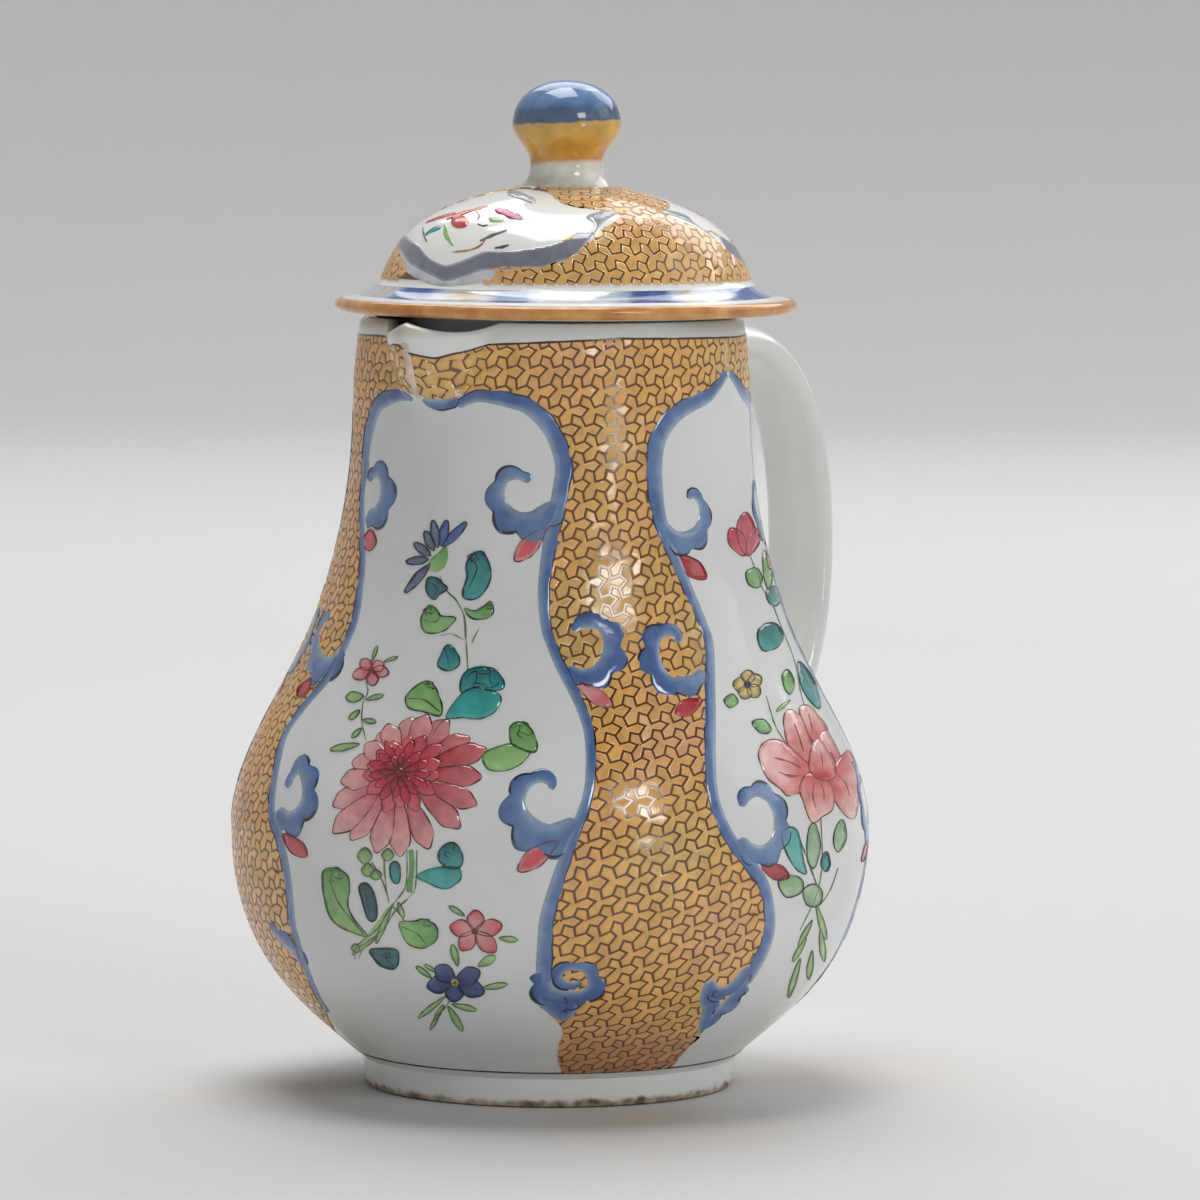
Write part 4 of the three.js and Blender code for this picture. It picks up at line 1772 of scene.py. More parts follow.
front = jug_brush()
front.border(
    ((544, 984), *front_right_flank[::-1], (562, 485), (564, 465), (557, 440), (545, 421), (528, 406),
     (510, 400), (494, 397), (478, 396), (466, 400), (457, 406)),
    (2.2, 2.0, 1.75, 1.45, 1.35, 1.35, 1.35, 1.35, 1.4, 1.75, 2.1, 2.3, 2.2, 2.0, 1.2), 1.0,
)
front.border(
    ((413, 398), (400, 395), (388, 398), (378, 405), (371, 423), (366, 450), (366, 480)),
    (1.2, 2.0, 2.5, 2.6, 2.4, 1.6), 2.0,
)
front.border(((423, 400), (432, 403), (441, 404), (450, 403), (459, 401)), (1.0, 1.5, 1.7, 1.7, 1.2), 3.0,
             0.4, lift=0.22)
front.border(
    ((365, 470), (362, 500), *front_left_flank[::-1], (316, 992), (328, 1012)),
    (1.5, 1.3, 1.5, 1.6, 1.6, 1.7, 1.5, 1.3), 4.0,
)
# A pale line runs down the keel of the beak, where the photograph shows one.
keel_half = 0.5
keel_lift = 0.11
keel = read_path(jug_skin, ((404, 343), (408, 360), (412, 380), (418, 398)), 1.5)
keel_white = hue(224, 204, 190)
ribbon(
    jug_touches, jug_skin, keel, np.full(len(keel), keel_half), plain(keel_white), keel_lift, cord_shares
)

# %% Scrolls of the front panel
front_scrolls = (
    (
        ((528, 483), (525, 477), (516, 474), (506, 476), (500, 483), (497, 495), (499, 507), (508, 518),
         (520, 524), (534, 524), (546, 517), (556, 503)),
        (0.9, 1.2, 1.4, 1.7, 2.1, 2.4, 2.7, 2.7, 1.8), 5.0, 0.7,
    ),
    (
        ((553, 790), (551, 782), (543, 777), (533, 778), (523, 785), (516, 798), (516, 812), (524, 826),
         (537, 836), (552, 838), (566, 831), (577, 820)),
        (0.8, 1.2, 1.5, 1.9, 2.5, 2.9, 3.0, 2.6, 1.6), 6.0, 0.9,
    ),
    (
        ((566, 668), (580, 677), (594, 676), (606, 668), (612, 655), (612, 640), (604, 627), (592, 622),
         (580, 624), (573, 631)),
        (1.3, 2.0, 2.4, 2.4, 2.5, 2.2, 1.8, 1.5, 1.2), 7.0, 0.2,
    ),
    (
        ((366, 519), (378, 515), (386, 500), (385, 482), (379, 471), (372, 474), (371, 482)),
        (1.8, 2.3, 2.3, 2.1, 1.5, 1.0), 8.0, 0.9,
    ),
    (
        ((330, 617), (323, 620), (317, 636), (315, 655), (320, 668), (334, 664), (344, 650)),
        (1.2, 1.7, 2.1, 2.6, 2.9, 2.6, 1.9), 9.0, 0.5,
    ),
    (
        ((277, 812), (288, 822), (300, 816), (308, 800), (308, 778), (301, 766), (292, 775),
         (288, 788)),
        (1.8, 2.3, 2.4, 2.2, 2.0, 1.5, 1.1), 10.0, 0.8,
    ),
    (
        ((541, 972), (545, 990), (556, 996), (572, 998), (588, 994), (595, 983), (588, 970), (574, 966),
         (562, 969), (556, 976), (562, 983), (574, 985), (582, 982)),
        (1.9, 2.4, 2.5, 2.3, 2.0, 1.6, 1.2, 1.0, 1.2, 1.0, 0.8), 11.0, 0.15,
    ),
    (
        ((575, 1002), (570, 1012), (562, 1016), (552, 1004), (540, 996)),
        (1.0, 1.2, 1.8, 2.4, 2.5), 12.0, 0.15,
    ),
    (
        ((303, 966), (296, 950), (284, 940), (276, 932), (270, 926)),
        (1.4, 2.1, 2.3, 2.0, 1.2), 13.0, 0.4,
    ),
)
for points, widths, seed, depth in front_scrolls:
    front.cord(points, widths, seed, depth=depth)
bud_edge = pink_pale * 1.05
front.petal((545, 529), (515, 561), 18, soft_rose, soft_rose * 1.1, red_ink, edge=bud_edge)
front.petal((557, 841), (518, 871), 19, soft_rose, soft_rose * 1.05, red_ink, edge=bud_edge)
front.petal((577, 684), (612, 707), 15, pink_pale, soft_rose, red_ink, lift=0.15)
front.petal((371, 529), (369, 551), 14, soft_rose, pink, red_ink, line=0.08)
front.petal((312, 679), (298, 698), 11, soft_rose, crimson, red_ink)
front.petal((283, 834), (307, 857), 15, soft_rose * 0.8, soft_rose, red_ink)

# %% Cords of the side panel
side = jug_brush(middle=side_angle)
side.border(
    ((726, 373), (719, 384), (708, 396), (693, 403), (679, 411), (666, 424), (657, 441), (654, 464),
     (655, 490), *side_left_flank[::-1]),
    (1.3, 2.2, 2.6, 2.4, 2.0, 1.7, 1.5, 1.6, 1.7, 1.7, 1.7, 1.8, 1.8, 2.4, 2.7), 14.0, 0.7, start=False,
)
side_scrolls = (
    (
        ((701, 1032), (704, 1022), (709, 1008), (706, 996), (709, 984), (716, 992), (729, 990),
         (740, 980), (750, 966)),
        (0.9, 1.6, 1.9, 1.7, 1.4, 1.9, 2.2, 2.4, 2.2), 15.0, 0.3,
    ),
    (((706, 1028), (716, 1014), (730, 1002), (744, 984)), (1.0, 2.0, 2.3, 2.2), 16.0, 0.25),
    (
        ((662, 524), (670, 537), (684, 542), (696, 537), (703, 526), (704, 512), (700, 500), (693, 494),
         (687, 498)),
        (1.4, 2.0, 2.2, 2.1, 1.9, 1.7, 1.3, 1.0, 0.8), 17.0, 0.9,
    ),
    (
        ((738, 840), (750, 852), (764, 855), (776, 846), (781, 830), (779, 811), (770, 796), (757, 790),
         (747, 795), (740, 806)),
        (1.6, 1.9, 2.1, 2.2, 2.1, 1.9, 1.6, 1.3, 1.1), 18.0, 0.8,
    ),
    (
        ((678, 643), (675, 634), (664, 630), (654, 637), (651, 652), (654, 668), (664, 681), (678, 686),
         (694, 682), (705, 672)),
        (1.1, 1.4, 1.8, 2.1, 2.3, 2.3, 2.2, 2.0, 1.5), 19.0, 0.5,
    ),
)
for points, widths, seed, depth in side_scrolls:
    side.cord(points, widths, seed, depth=depth)
side.petal((675, 554), (706, 579), 18, crimson * 1.15, crimson * 1.4, red_ink, line=0.1)
side.petal((761, 866), (789, 877), 16, soft_rose * 0.8, crimson, red_ink, line=0.1)
side.petal((702, 700), (675, 714), 17, crimson, soft_rose, red_ink, line=0.1, lift=0.15)

# %% [markdown]
# ## Flower sprays
# A chrysanthemum, a peony, asters and small five-petalled flowers grow up each
# panel. Petals shade from a deep root to a pale tip, leaves turn over and show a
# lighter side, and a fine dark line closes each shape.

# %% The front spray
spray = jug_brush(((1, 0),))
stem_green = olive * 0.5
aster = hue(100, 112, 136)
aster_blue = hue(76, 100, 152)
teal_grey = hue(52, 104, 108)
spray.pen(((411, 850), (412, 866), (409, 892)), 0.8, leaf_green, lift=0.085, taper=False)
spray.pen(((388, 908), (378, 926), (359, 946)), 0.7, leaf_pale, lift=0.08)
for stalk in (
    ((440, 576), (446, 590), (456, 600), (464, 616), (466, 640), (468, 672)),
    ((440, 636), (452, 634), (464, 640)),
    ((472, 643), (475, 636), (479, 629)),
    ((432, 736), (440, 724), (452, 714), (461, 700)),
    ((407, 850), (407, 876), (404, 890), (392, 906), (378, 928), (357, 946), (355, 960)),
    ((417, 850), (416, 880), (413, 893), (396, 910), (384, 928), (366, 944), (358, 960)),
    ((384, 850), (385, 876), (389, 903)),
    ((372, 862), (382, 880), (389, 900)),
    ((413, 876), (422, 880), (434, 874)),
    ((392, 906), (400, 914), (406, 924)),
    ((366, 682), (368, 692), (363, 704), (362, 722), (366, 740)),
):
    spray.pen(stalk, 0.19, stem_green, lift=0.095)
for tip, base, tone in (
    ((405, 593), (430, 564), aster),
    ((406, 562), (429, 559), aster),
    ((414, 543), (431, 556), aster),
    ((425, 531), (434, 551), aster),
    ((433, 520), (438, 548), aster),
    ((447, 520), (441, 546), aster_blue),
    ((467, 522), (443, 547), aster_blue),
):
    spray.petal(base, tip, 9, tone, tone * 1.35, ink, full=0.5, line=0.13)
spray.fill(((430, 560), (438, 553), (446, 546), (448, 556), (444, 568), (436, 572), (429, 569)),
           leaf_pale, leaf_green, (1, -0.4))
spray.leaf(
    ((463, 591), (467, 577), (466, 565), (472, 554), (483, 552), (491, 571), (488, 586), (478, 598),
     (465, 599)),
    teal_dark, teal, (-0.2, 1), vein=((467, 556), (477, 568), (468, 590)),
)
spray.scribble(474, 557, 7, ink)
spray.leaf(
    ((427, 579), (435, 577), (444, 584), (448, 589), (440, 594), (435, 600), (427, 593)),
    teal_grey, teal_grey * 1.5, vein=((430, 582), (437, 588), (434, 597)),
)
spray.leaf(
    ((423, 614), (430, 605), (438, 611), (441, 616), (456, 618), (448, 628), (438, 633), (425, 632),
     (421, 622)),
    leaf_green, leaf_pale, (0.3, 1), vein=((441, 616), (436, 622), (424, 620)),
)
spray.scribble(429, 611, 6, olive * 0.15)
spray.leaf(
    ((465, 608), (474, 611), (483, 607), (490, 601), (493, 605), (493, 614), (486, 619), (474, 619),
     (467, 614)),
    leaf_green, leaf_pale, (-1, 0),
)
spray.scribble(489, 607, 5, olive * 0.15)
spray.leaf(((438, 666), (441, 655), (447, 645), (455, 649), (460, 663), (450, 671)), teal_dark, teal,
           vein=((446, 650), (450, 668)))
spray.curled(
    ((446, 717), (462, 694), (476, 687), (490, 690), (501, 697), (496, 711), (480, 719), (462, 718)),
    ((461, 692), (463, 675), (476, 667), (494, 669), (503, 679), (503, 689), (490, 691), (476, 688)),
    teal, teal_dark,
)
spray.leaf(
    ((406, 697), (418, 685), (429, 681), (436, 688), (442, 706), (440, 716), (424, 712), (409, 708)),
    leaf_green, leaf_pale, (-0.4, 1), vein=((408, 699), (424, 700), (440, 712)),
)
spray.scribble(431, 686, 6, olive * 0.15)
spray.curled(
    ((483, 755), (497, 747), (512, 744), (525, 751), (530, 753), (521, 764), (505, 771), (488, 769)),
    ((510, 728), (519, 722), (530, 728), (537, 742), (535, 752), (524, 750), (512, 744)),
    leaf_pale, leaf_green,
)
spray.bloom((372, 670), ((353, 677), (361, 660), (384, 663), (389, 673), (373, 686)), 12, soft_rose,
            pink_pale, yellow, 5, red_ink)
for base, tip, width in (
    ((364, 696), (346, 698), 11), ((366, 700), (384, 695), 5), ((372, 662), (378, 645), 3),
    ((384, 662), (398, 657), 3), ((360, 710), (349, 720), 6), ((362, 720), (377, 722), 5),
    ((362, 728), (352, 738), 5), ((360, 744), (330, 750), 7),
):
    spray.sprig(base, tip, width)

# %% The chrysanthemum
flower_heart = np.array((400, 772))
outer_tips = (
    (470, 737), (487, 749), (482, 777), (477, 805), (460, 828), (429, 849), (400, 857), (376, 853),
    (351, 840), (333, 833), (333, 806), (341, 782), (352, 762), (365, 744), (379, 733), (388, 724),
    (412, 717), (428, 715), (449, 720),
)
inner_tips = (
    (443, 745), (442, 762), (440, 776), (435, 794), (418, 812), (400, 808), (385, 813), (367, 793),
    (363, 776), (367, 765), (377, 751), (393, 741), (403, 745), (411, 736), (426, 736),
)
petal_pink = hue(216, 108, 120)
petal_light = hue(236, 182, 178)
petal_deep = hue(200, 66, 82)
petal_red = hue(164, 30, 42)
heart_brown = hue(104, 42, 36)
ring_lift = 0.062


def petal_ring(level, tips, root_share, width, first, second, deeper):
    """Petals around the heart, every other one on top of its neighbours."""
    for odd in (0, 1):
        lift = ring_lift + pen_step * 2 * (level * 2 + odd)
        for tip in tips[odd::2]:
            tip = np.array(tip, float)
            root = flower_heart + (tip - flower_heart) * root_share
            right = np.clip((tip[0] - flower_heart[0]) / 60 * deeper, 0, 1)
            root_tone = mix(first, petal_red, np.array(right))
            tip_tone = mix(second, petal_deep, np.array(right * 0.75))
            spray.petal(root, tip, width, root_tone, tip_tone, red_ink, full=0.72, line=0.16, lift=lift)


def ring_of(count, reach, turn_share):
    """Tips on a flattened circle around the heart."""
    angles = [math.tau * (k + turn_share) / count for k in range(count)]
    swings = [1 + 0.12 * math.sin(k * 2.7) for k in range(count)]
    return [
        (flower_heart[0] + reach * s * math.cos(a), flower_heart[1] + reach * s * math.sin(a))
        for a, s in zip(angles, swings)
    ]


petal_ring(0, outer_tips, 0.3, 21, petal_pink * 0.9, petal_light, 0.6)
petal_ring(1, inner_tips, 0.15, 14, petal_deep * 0.8, petal_pink * 1.1, 1.0)
petal_ring(2, ring_of(15, 31, 0.2), 0.1, 9, petal_red, petal_deep * 1.1, 1.3)
petal_ring(3, ring_of(11, 18, 0.5), 0.1, 7, heart_brown, petal_deep * 0.8, 1.3)
spray.fill(dot(*flower_heart, 4, 4), heart_brown, petal_red, lift=0.16)

# %% Under the chrysanthemum
spray.leaf(
    ((323, 872), (336, 868), (348, 876), (350, 890), (348, 904), (354, 919), (368, 936), (354, 933),
     (334, 922), (325, 901)),
    leaf_green, leaf_pale, (0.4, 1), vein=((330, 880), (340, 904), (364, 934)),
)
spray.scribble(336, 874, 10, olive * 0.25)
spray.leaf(
    ((359, 888), (364, 883), (372, 888), (377, 908), (375, 921), (368, 919), (363, 904)),
    teal_grey * 0.5, teal_grey, vein=((365, 888), (370, 916)),
)
spray.leaf(
    ((400, 922), (415, 921), (424, 919), (436, 926), (437, 939), (424, 948), (409, 944), (402, 933)),
    leaf_green, leaf_pale, (-1, 0.5), vein=((402, 926), (418, 934), (426, 944)),
)
spray.scribble(427, 923, 6, olive * 0.2)
spray.leaf(
    ((370, 950), (384, 948), (397, 950), (399, 958), (395, 969), (381, 966), (373, 957)),
    teal_grey * 0.7, teal_grey * 1.4, (1, 0.4), vein=((372, 952), (386, 958), (394, 966)),
)
spray.scribble(388, 955, 5, ink)
spray.curled(
    ((417, 876), (433, 868), (447, 867), (460, 869), (460, 880), (447, 889), (433, 885)),
    ((438, 854), (444, 845), (454, 843), (462, 852), (462, 865), (451, 869), (440, 862)),
    teal, teal_dark,
)
spray.leaf(((390, 866), (395, 861), (400, 866), (400, 880), (396, 884), (391, 878)), teal_grey, teal)
for cx, cy, wide, tall in ((365, 856, 15, 17), (368, 870, 13, 14), (388, 855, 12, 13), (376, 875, 12, 11),
                           (356, 948, 9, 9)):
    spray.leaf(
        ((cx - wide / 2, cy), (cx, cy - tall / 2), (cx + wide / 2, cy), (cx, cy + tall / 2)),
        olive, leaf_pale, (0, 1), line=0.12, outline=olive * 0.3,
    )
for base, tip, width in (((392, 905), (376, 944), 5), ((378, 936), (352, 955), 4),
                         ((398, 902), (404, 918), 5)):
    spray.sprig(base, tip, width)

# %% Small flowers at the bottom
low = jug_brush()
low.bloom((475, 931), ((450, 926), (476, 910), (502, 925), (496, 952), (461, 950)), 17, pink_pale,
          soft_rose, soft_rose, 6, red_ink)
blue_petal = hue(52, 64, 118)
blue_petal_pale = hue(84, 98, 142)
low.bloom((455, 982), ((436, 966), (427, 986), (454, 1002), (484, 993), (480, 971)), 18, blue_petal,
          blue_petal_pale, yellow, 9)
for base, tip, width in (
    ((499, 938), (518, 940), 6), ((478, 966), (496, 956), 9), ((458, 966), (452, 944), 7),
    ((465, 916), (449, 906), 5), ((446, 996), (418, 1018), 5), ((444, 1004), (434, 1020), 5),
    ((448, 1006), (463, 1031), 7), ((452, 1004), (477, 1010), 6), ((482, 988), (508, 984), 6),
    ((432, 978), (416, 966), 5), ((437, 972), (424, 964), 4), ((440, 1012), (430, 1030), 4),
):
    low.sprig(base, tip, width)
low.pen(((450, 1000), (446, 1006), (436, 1016)), 0.22, stem_green)

# %% The side spray
spray_side = jug_brush()
for stalk in (
    ((750, 556), (756, 572), (762, 588), (772, 604), (780, 624), (794, 660), (800, 690), (806, 712)),
    ((766, 696), (775, 725), (785, 742)),
    ((820, 808), (822, 850), (820, 880), (812, 905), (800, 930)),
    ((800, 840), (812, 872), (822, 900)),
    ((838, 868), (830, 890), (820, 905)),
):
    spray_side.pen(stalk, 0.3, stem_green, lift=0.09)
for base, tip, width in (((744, 556), (730, 528), 17), ((746, 556), (745, 512), 19),
                         ((748, 556), (757, 528), 13)):
    spray_side.petal(base, tip, width, petal_pink, rose, red_ink, full=0.6)
small_leaves = (
    (((763, 550), (770, 562), (772, 578), (768, 590), (763, 574)), leaf_green, leaf_pale, (0, 1)),
    (((746, 572), (756, 568), (762, 578), (758, 588), (748, 584)), leaf_green, leaf_pale, (1, 0)),
    (((766, 590), (776, 586), (782, 596), (776, 606), (768, 602)), teal_dark, teal, (0, 1)),
    (((757, 634), (764, 624), (776, 624), (783, 636), (776, 648), (762, 650)), teal_dark, teal, (0, 1)),
    (((782, 674), (788, 670), (794, 682), (790, 694), (784, 688)), leaf_green, leaf_pale, (0, 1)),
    (((797, 662), (806, 668), (816, 686), (820, 708), (810, 702), (800, 684)), teal_dark, teal, (0, 1)),
    (((724, 700), (732, 694), (738, 702), (730, 708)), leaf_green, leaf_pale, (0, 1)),
    (((752, 722), (764, 720), (771, 731), (760, 733)), leaf_green, leaf_pale, (1, 0)),
)
for outline, first, second, toward in small_leaves:
    spray_side.leaf(outline, first, second, toward)
spray_side.bloom((747, 685), ((748, 670), (761, 677), (759, 696), (743, 699), (733, 684)), 14, yellow,
                 yellow * 0.75, blue_petal, 7)
leaf_soft = hue(130, 168, 122)
leaf_soft_pale = hue(176, 202, 168)
peony_light = hue(244, 198, 190)
peony = hue(200, 62, 72)
peony_petals = (
    (((786, 730), (786, 718), (790, 713), (796, 715), (803, 723), (806, 733), (811, 748), (813, 766),
     (803, 759), (791, 748)), (0, -1)),
    (((801, 713), (803, 708), (811, 709), (818, 718), (823, 723), (826, 733), (822, 746), (812, 738),
     (806, 726)), (0, -1)),
    (((826, 733), (833, 743), (839, 756), (839, 766), (834, 769), (826, 758), (820, 742)), (0.4, -1)),
    (((833, 773), (843, 759), (849, 756), (856, 773), (858, 786), (854, 812), (846, 812), (838, 802),
     (831, 789)), (1, 0.4)),
    (((762, 756), (765, 748), (771, 744), (780, 744), (788, 749), (798, 758), (806, 766), (811, 773),
     (806, 778), (801, 788), (795, 790), (787, 792), (781, 786), (771, 778), (765, 768)), (-1, 0)),
    (((813, 776), (806, 778), (801, 789), (805, 802), (810, 816), (815, 819), (821, 814), (830, 807),
     (830, 789), (821, 778)), (0, 1)),
    (((811, 770), (811, 756), (815, 744), (820, 743), (826, 753), (833, 764), (831, 776), (821, 778)),
     (0, -1)),
)
peony_growth = 1.16
spray_side.fill(
    ((797, 742), (812, 732), (828, 742), (838, 766), (832, 790), (812, 800), (796, 786), (786, 766)),
    crimson, peony, (0, -1), lift=0.055,
)
for k, (outline, toward) in enumerate(peony_petals):
    middle = np.mean(outline, 0)
    grown = [tuple(middle + (np.array(spot) - middle) * peony_growth) for spot in outline]
    spray_side.leaf(grown, peony, peony_light, toward, outline=red_ink, lift=0.07 + pen_step * 2 * k)
for vein in (
    ((803, 752), (799, 738), (794, 724)), ((812, 730), (810, 722), (808, 714)),
    ((822, 770), (821, 758), (819, 750)), ((800, 768), (788, 762), (774, 758)),
    ((798, 776), (788, 776), (778, 772)), ((813, 784), (812, 796), (815, 808)),
    ((820, 784), (823, 792), (823, 802)), ((838, 776), (845, 784), (849, 796)),
    ((830, 752), (833, 758), (835, 764)),
):
    spray_side.pen(vein, 0.42, crimson, lift=0.16)
for outline, first, second in (
    (((781, 834), (790, 827), (798, 833), (803, 860), (806, 874), (795, 868), (785, 850)), teal,
     teal_pale),
    (((808, 830), (815, 824), (820, 846), (814, 868), (807, 858)), leaf_soft, leaf_soft_pale),
    (((836, 826), (843, 820), (846, 838), (838, 852), (833, 842)), leaf_soft, leaf_soft_pale),
    (((822, 856), (827, 852), (830, 864), (826, 872), (821, 866)), teal_grey, teal),
    (((778, 882), (790, 875), (802, 880), (801, 892), (786, 897)), leaf_soft, leaf_soft_pale),
    (((803, 890), (814, 884), (822, 892), (818, 906), (806, 904)), leaf_soft_pale, leaf_soft),
):
    spray_side.leaf(outline, first, second)
for base, tip, width in (
    ((816, 905), (826, 940), 6), ((812, 920), (798, 946), 5), ((820, 930), (824, 962), 6),
    ((806, 938), (792, 962), 5), ((812, 950), (808, 980), 6), ((800, 958), (788, 998), 6),
    ((790, 700), (776, 712), 4),
):
    spray_side.sprig(base, tip, width)
for layer, material in (
    (jug_net, ground_enamel), (jug_tiles, ground_enamel), (jug_cords, thick_enamel),
):
    layer.piece("jug", "enamelled_body", material)

# %% [markdown]
# ## Foot and neck lines
# The potter's wheel is also the painter's: a loaded brush held against the turning
# jug leaves a thin brown line under the rim and another above the foot ring.

# %% Foot and neck lines
neck_line_half = 0.17
neck_line_lift = 0.11
foot_line_half = 0.15
foot_line_lift = 0.09
around = np.linspace(0, math.tau, 481)[:-1]
neck_path = np.stack([around, neck_run(around)], 1)
neck_half = neck_line_half * (1 + 0.35 * noise_at(np.stack([around * 9, around, around], 1), 1.0, 4.4))
ribbon(jug_lines, jug_skin, neck_path, neck_half, plain(sepia * 0.45), neck_line_lift, closed=True)
foot_path = np.stack([around, np.full_like(around, foot_run)], 1)
foot_half = foot_line_half * (1 + 0.4 * noise_at(np.stack([around * 7, around, around], 1), 1.0, 1.4))
ribbon(jug_lines, jug_skin, foot_path, foot_half, plain(ink), foot_line_lift, closed=True)
jug_touches.piece("jug", "enamelled_body", thick_enamel)
jug_lines.piece("jug", "enamelled_body", thick_enamel)

# %% [markdown]
# ## The cover's painting
# The cover repeats the ochre ground between two white reserves. Each reserve is
# edged with a grey-violet wash and holds a small spray. The brim has a pale blue
# band with clouds of darker blue.

# %% Cover ground and reserves
reserve_degrees_and_runs = (
    (124, 13), (140, 10.6), (150, 9.4), (158, 8.2), (168, 7.4), (175, 6.7), (181, 6.7), (190, 7.5),
    (197, 8.6), (208, 8.6), (213, 9.0), (219, 10), (225.5, 12.6), (232, 15.0), (241, 17.4), (241, 19.2),
    (229, 20.2), (218, 21.6), (211, 24.0), (203, 26.6), (180, 28.2), (150, 28.0), (130, 25), (121, 19),
)
reserve_mirror = math.radians(254.5)
reserve = flow([(math.radians(a) * 20, r) for a, r in reserve_degrees_and_runs], 0.6, True) / (20, 1)
second_reserve = mirrored(reserve, reserve_mirror)
dome_start = cover_skin.run_at(dome_foot)
knob_run = float(np.interp(-knob_foot_radius, -cover_skin.radii, cover_skin.runs))
cover_net = Layer("cover_net")
cover_tiles = Layer("cover_ochre_tiles")
cover_touches = Layer("cover_touches")
cover_lines = Layer("cover_pen_lines")
dome_margin = 0.3
cover_room = clearance(
    cover_skin, [reserve, second_reserve], dome_start + dome_margin, lambda a: np.full_like(a, knob_run)
)
cover_line_width = 0.17
cover_ochre = hue(228, 182, 122)
wedges = ((math.radians(254.5), math.radians(62)), (math.radians(254.5 - 180), math.radians(82)))
for wedge_middle, wedge_half in wedges:
    centres = []
    for row in range(int(knob_run / tile_rise) + 2):
        run = row * tile_rise
        reach = float(cover_skin.radius(run))
        for column in range(-14, 15):
            x = (column + 0.5 * (row % 2)) * tile_pitch
            if abs(x / reach) < wedge_half:
                centres.append((x, run))

    def carry_wedge(flat, middle=wedge_middle):
        return np.stack([middle + flat[..., 0] / cover_skin.radius(flat[..., 1]), flat[..., 1]], -1)

    def wedge_tint(spot):
        return ochre_at(np.array((spot[0], spot[1], 60.0))) * 0.5 + cover_ochre * 0.5

    lay_tiles(cover_tiles, cover_skin, centres, carry_wedge, cover_room, wedge_tint, cover_line_width)

dome_angles = np.linspace(0, math.tau, 241)[:-1]
net_margin = 0.1
net_runs = np.arange(dome_start, knob_run, 0.5)

# The brown net is a sheet of small cells around the dome, kept out of the reserves.
cell_angles = dome_angles + (dome_angles[1] - dome_angles[0]) / 2
free_cells = np.array([
    cover_room(cell_angles, np.full_like(cell_angles, (low_run + high_run) / 2)) > net_margin
    for low_run, high_run in zip(net_runs, net_runs[1:])
])
rows, columns = free_cells.shape
corner_angles, corner_runs = np.meshgrid(dome_angles, net_runs)
corner_angles, corner_runs = corner_angles.ravel(), corner_runs.ravel()
top_spots, top_normals = cover_skin.place(corner_angles, corner_runs, np.full(corner_runs.size, net_lift))
low_spots = cover_skin.place(corner_angles, corner_runs, np.full(corner_runs.size, sunk))[0]
size = len(top_spots)
net_faces = []
for row in range(rows):
    for column in range(columns):
        if not free_cells[row, column]:
            continue
        after = (column + 1) % columns
        a, b = row * columns + column, row * columns + after
        d, c = a + columns, b + columns
        net_faces += [[a, b, c, d], [d + size, c + size, b + size, a + size]]
        if row == 0 or not free_cells[row - 1, column]:
            net_faces.append([b, a, a + size, b + size])
        if row == rows - 1 or not free_cells[row + 1, column]:
            net_faces.append([d, c, c + size, d + size])
        if not free_cells[row, after]:
            net_faces.append([c, b, b + size, c + size])
        if not free_cells[row, column - 1]:
            net_faces.append([a, d, d + size, a + size])
net_colours = sepia_at(np.concatenate([top_spots, top_spots]))
cover_net.add(
    np.concatenate([top_spots, low_spots]), np.concatenate([top_normals, top_normals]),
    net_colours, net_faces,
)

# %% Reserve edges and the brim band
grey_violet = hue(134, 137, 150)
wash_pale = hue(196, 200, 206)
pale_blue_white = hue(214, 219, 224)
cover_brush = Brush(cover_skin, cover_touches, cover_lines, cover_touches, ((1, 0),), reserve_mirror)
cover_brush.fill(
    ((397, 246), (411, 262), (435, 275), (446, 280), (463, 275), (483, 269), (495, 269), (495, 280),
     (470, 284), (440, 286), (412, 276), (394, 258)),
    pale_blue_white, pale_blue_white * 0.92, (0, 1), spacing=3, edge=pale_blue_white, lift=0.045,
)
cover_brush.fill(
    ((395, 243), (402, 254), (411, 265), (423, 272), (435, 278), (446, 282), (463, 278), (483, 271),
     (498, 271), (513, 271), (528, 269), (542, 268), (556, 264), (567, 261), (575, 257), (582, 250),
     (589, 240), (594, 231), (587, 233), (576, 233), (566, 238), (554, 243), (542, 246), (529, 248),
     (516, 250), (503, 251), (486, 251), (473, 256), (460, 261), (446, 265), (436, 261), (428, 256),
     (420, 246), (411, 240), (403, 235)),
    grey_violet, grey_violet * 0.92, (0, 1), spacing=2.2, edge=wash_pale, step=1.6, lift=0.05,
)
cover_brush.fill(((592, 236), (604, 222), (621, 211), (618, 207), (600, 211), (586, 217), (594, 224)),
                 grey_violet, wash_pale, (1, 0), edge=wash_pale, lift=0.05)
cover_brush.fill(((509, 190), (520, 192), (534, 198), (534, 204), (522, 200), (508, 195)),
                 grey_violet, wash_pale, (1, 0), edge=wash_pale, lift=0.05)

band_blue = hue(196, 208, 222)
cloud_blue = hue(84, 108, 166)
band_tan = hue(204, 184, 160)
band_angles = np.linspace(0, math.tau, 361)[:-1]
band_radius = 25
band_run_share = 0.63
band_half_width = 1.5
band_lift = 0.04
band_run = dome_start * band_run_share
cloud_pixels = ((398, 290, 435, 296), (488, 300, 534, 303), (625, 300, 676, 297), (720, 291, 750, 284))
tan_pixels = ((382, 287, 394, 291), (440, 299, 484, 303), (682, 297, 700, 295))
band_spots = []
for spots_here, is_tan in ((cloud_pixels, False), (tan_pixels, True)):
    for left, left_row, right, right_row in spots_here:
        ends = cover_skin.seen([(left, -left_row), (right, -right_row)])[:, 0]
        middle = (ends[0] + ends[1]) / 2
        band_spots.append((middle, abs(ends[1] - ends[0]) / 2, is_tan))


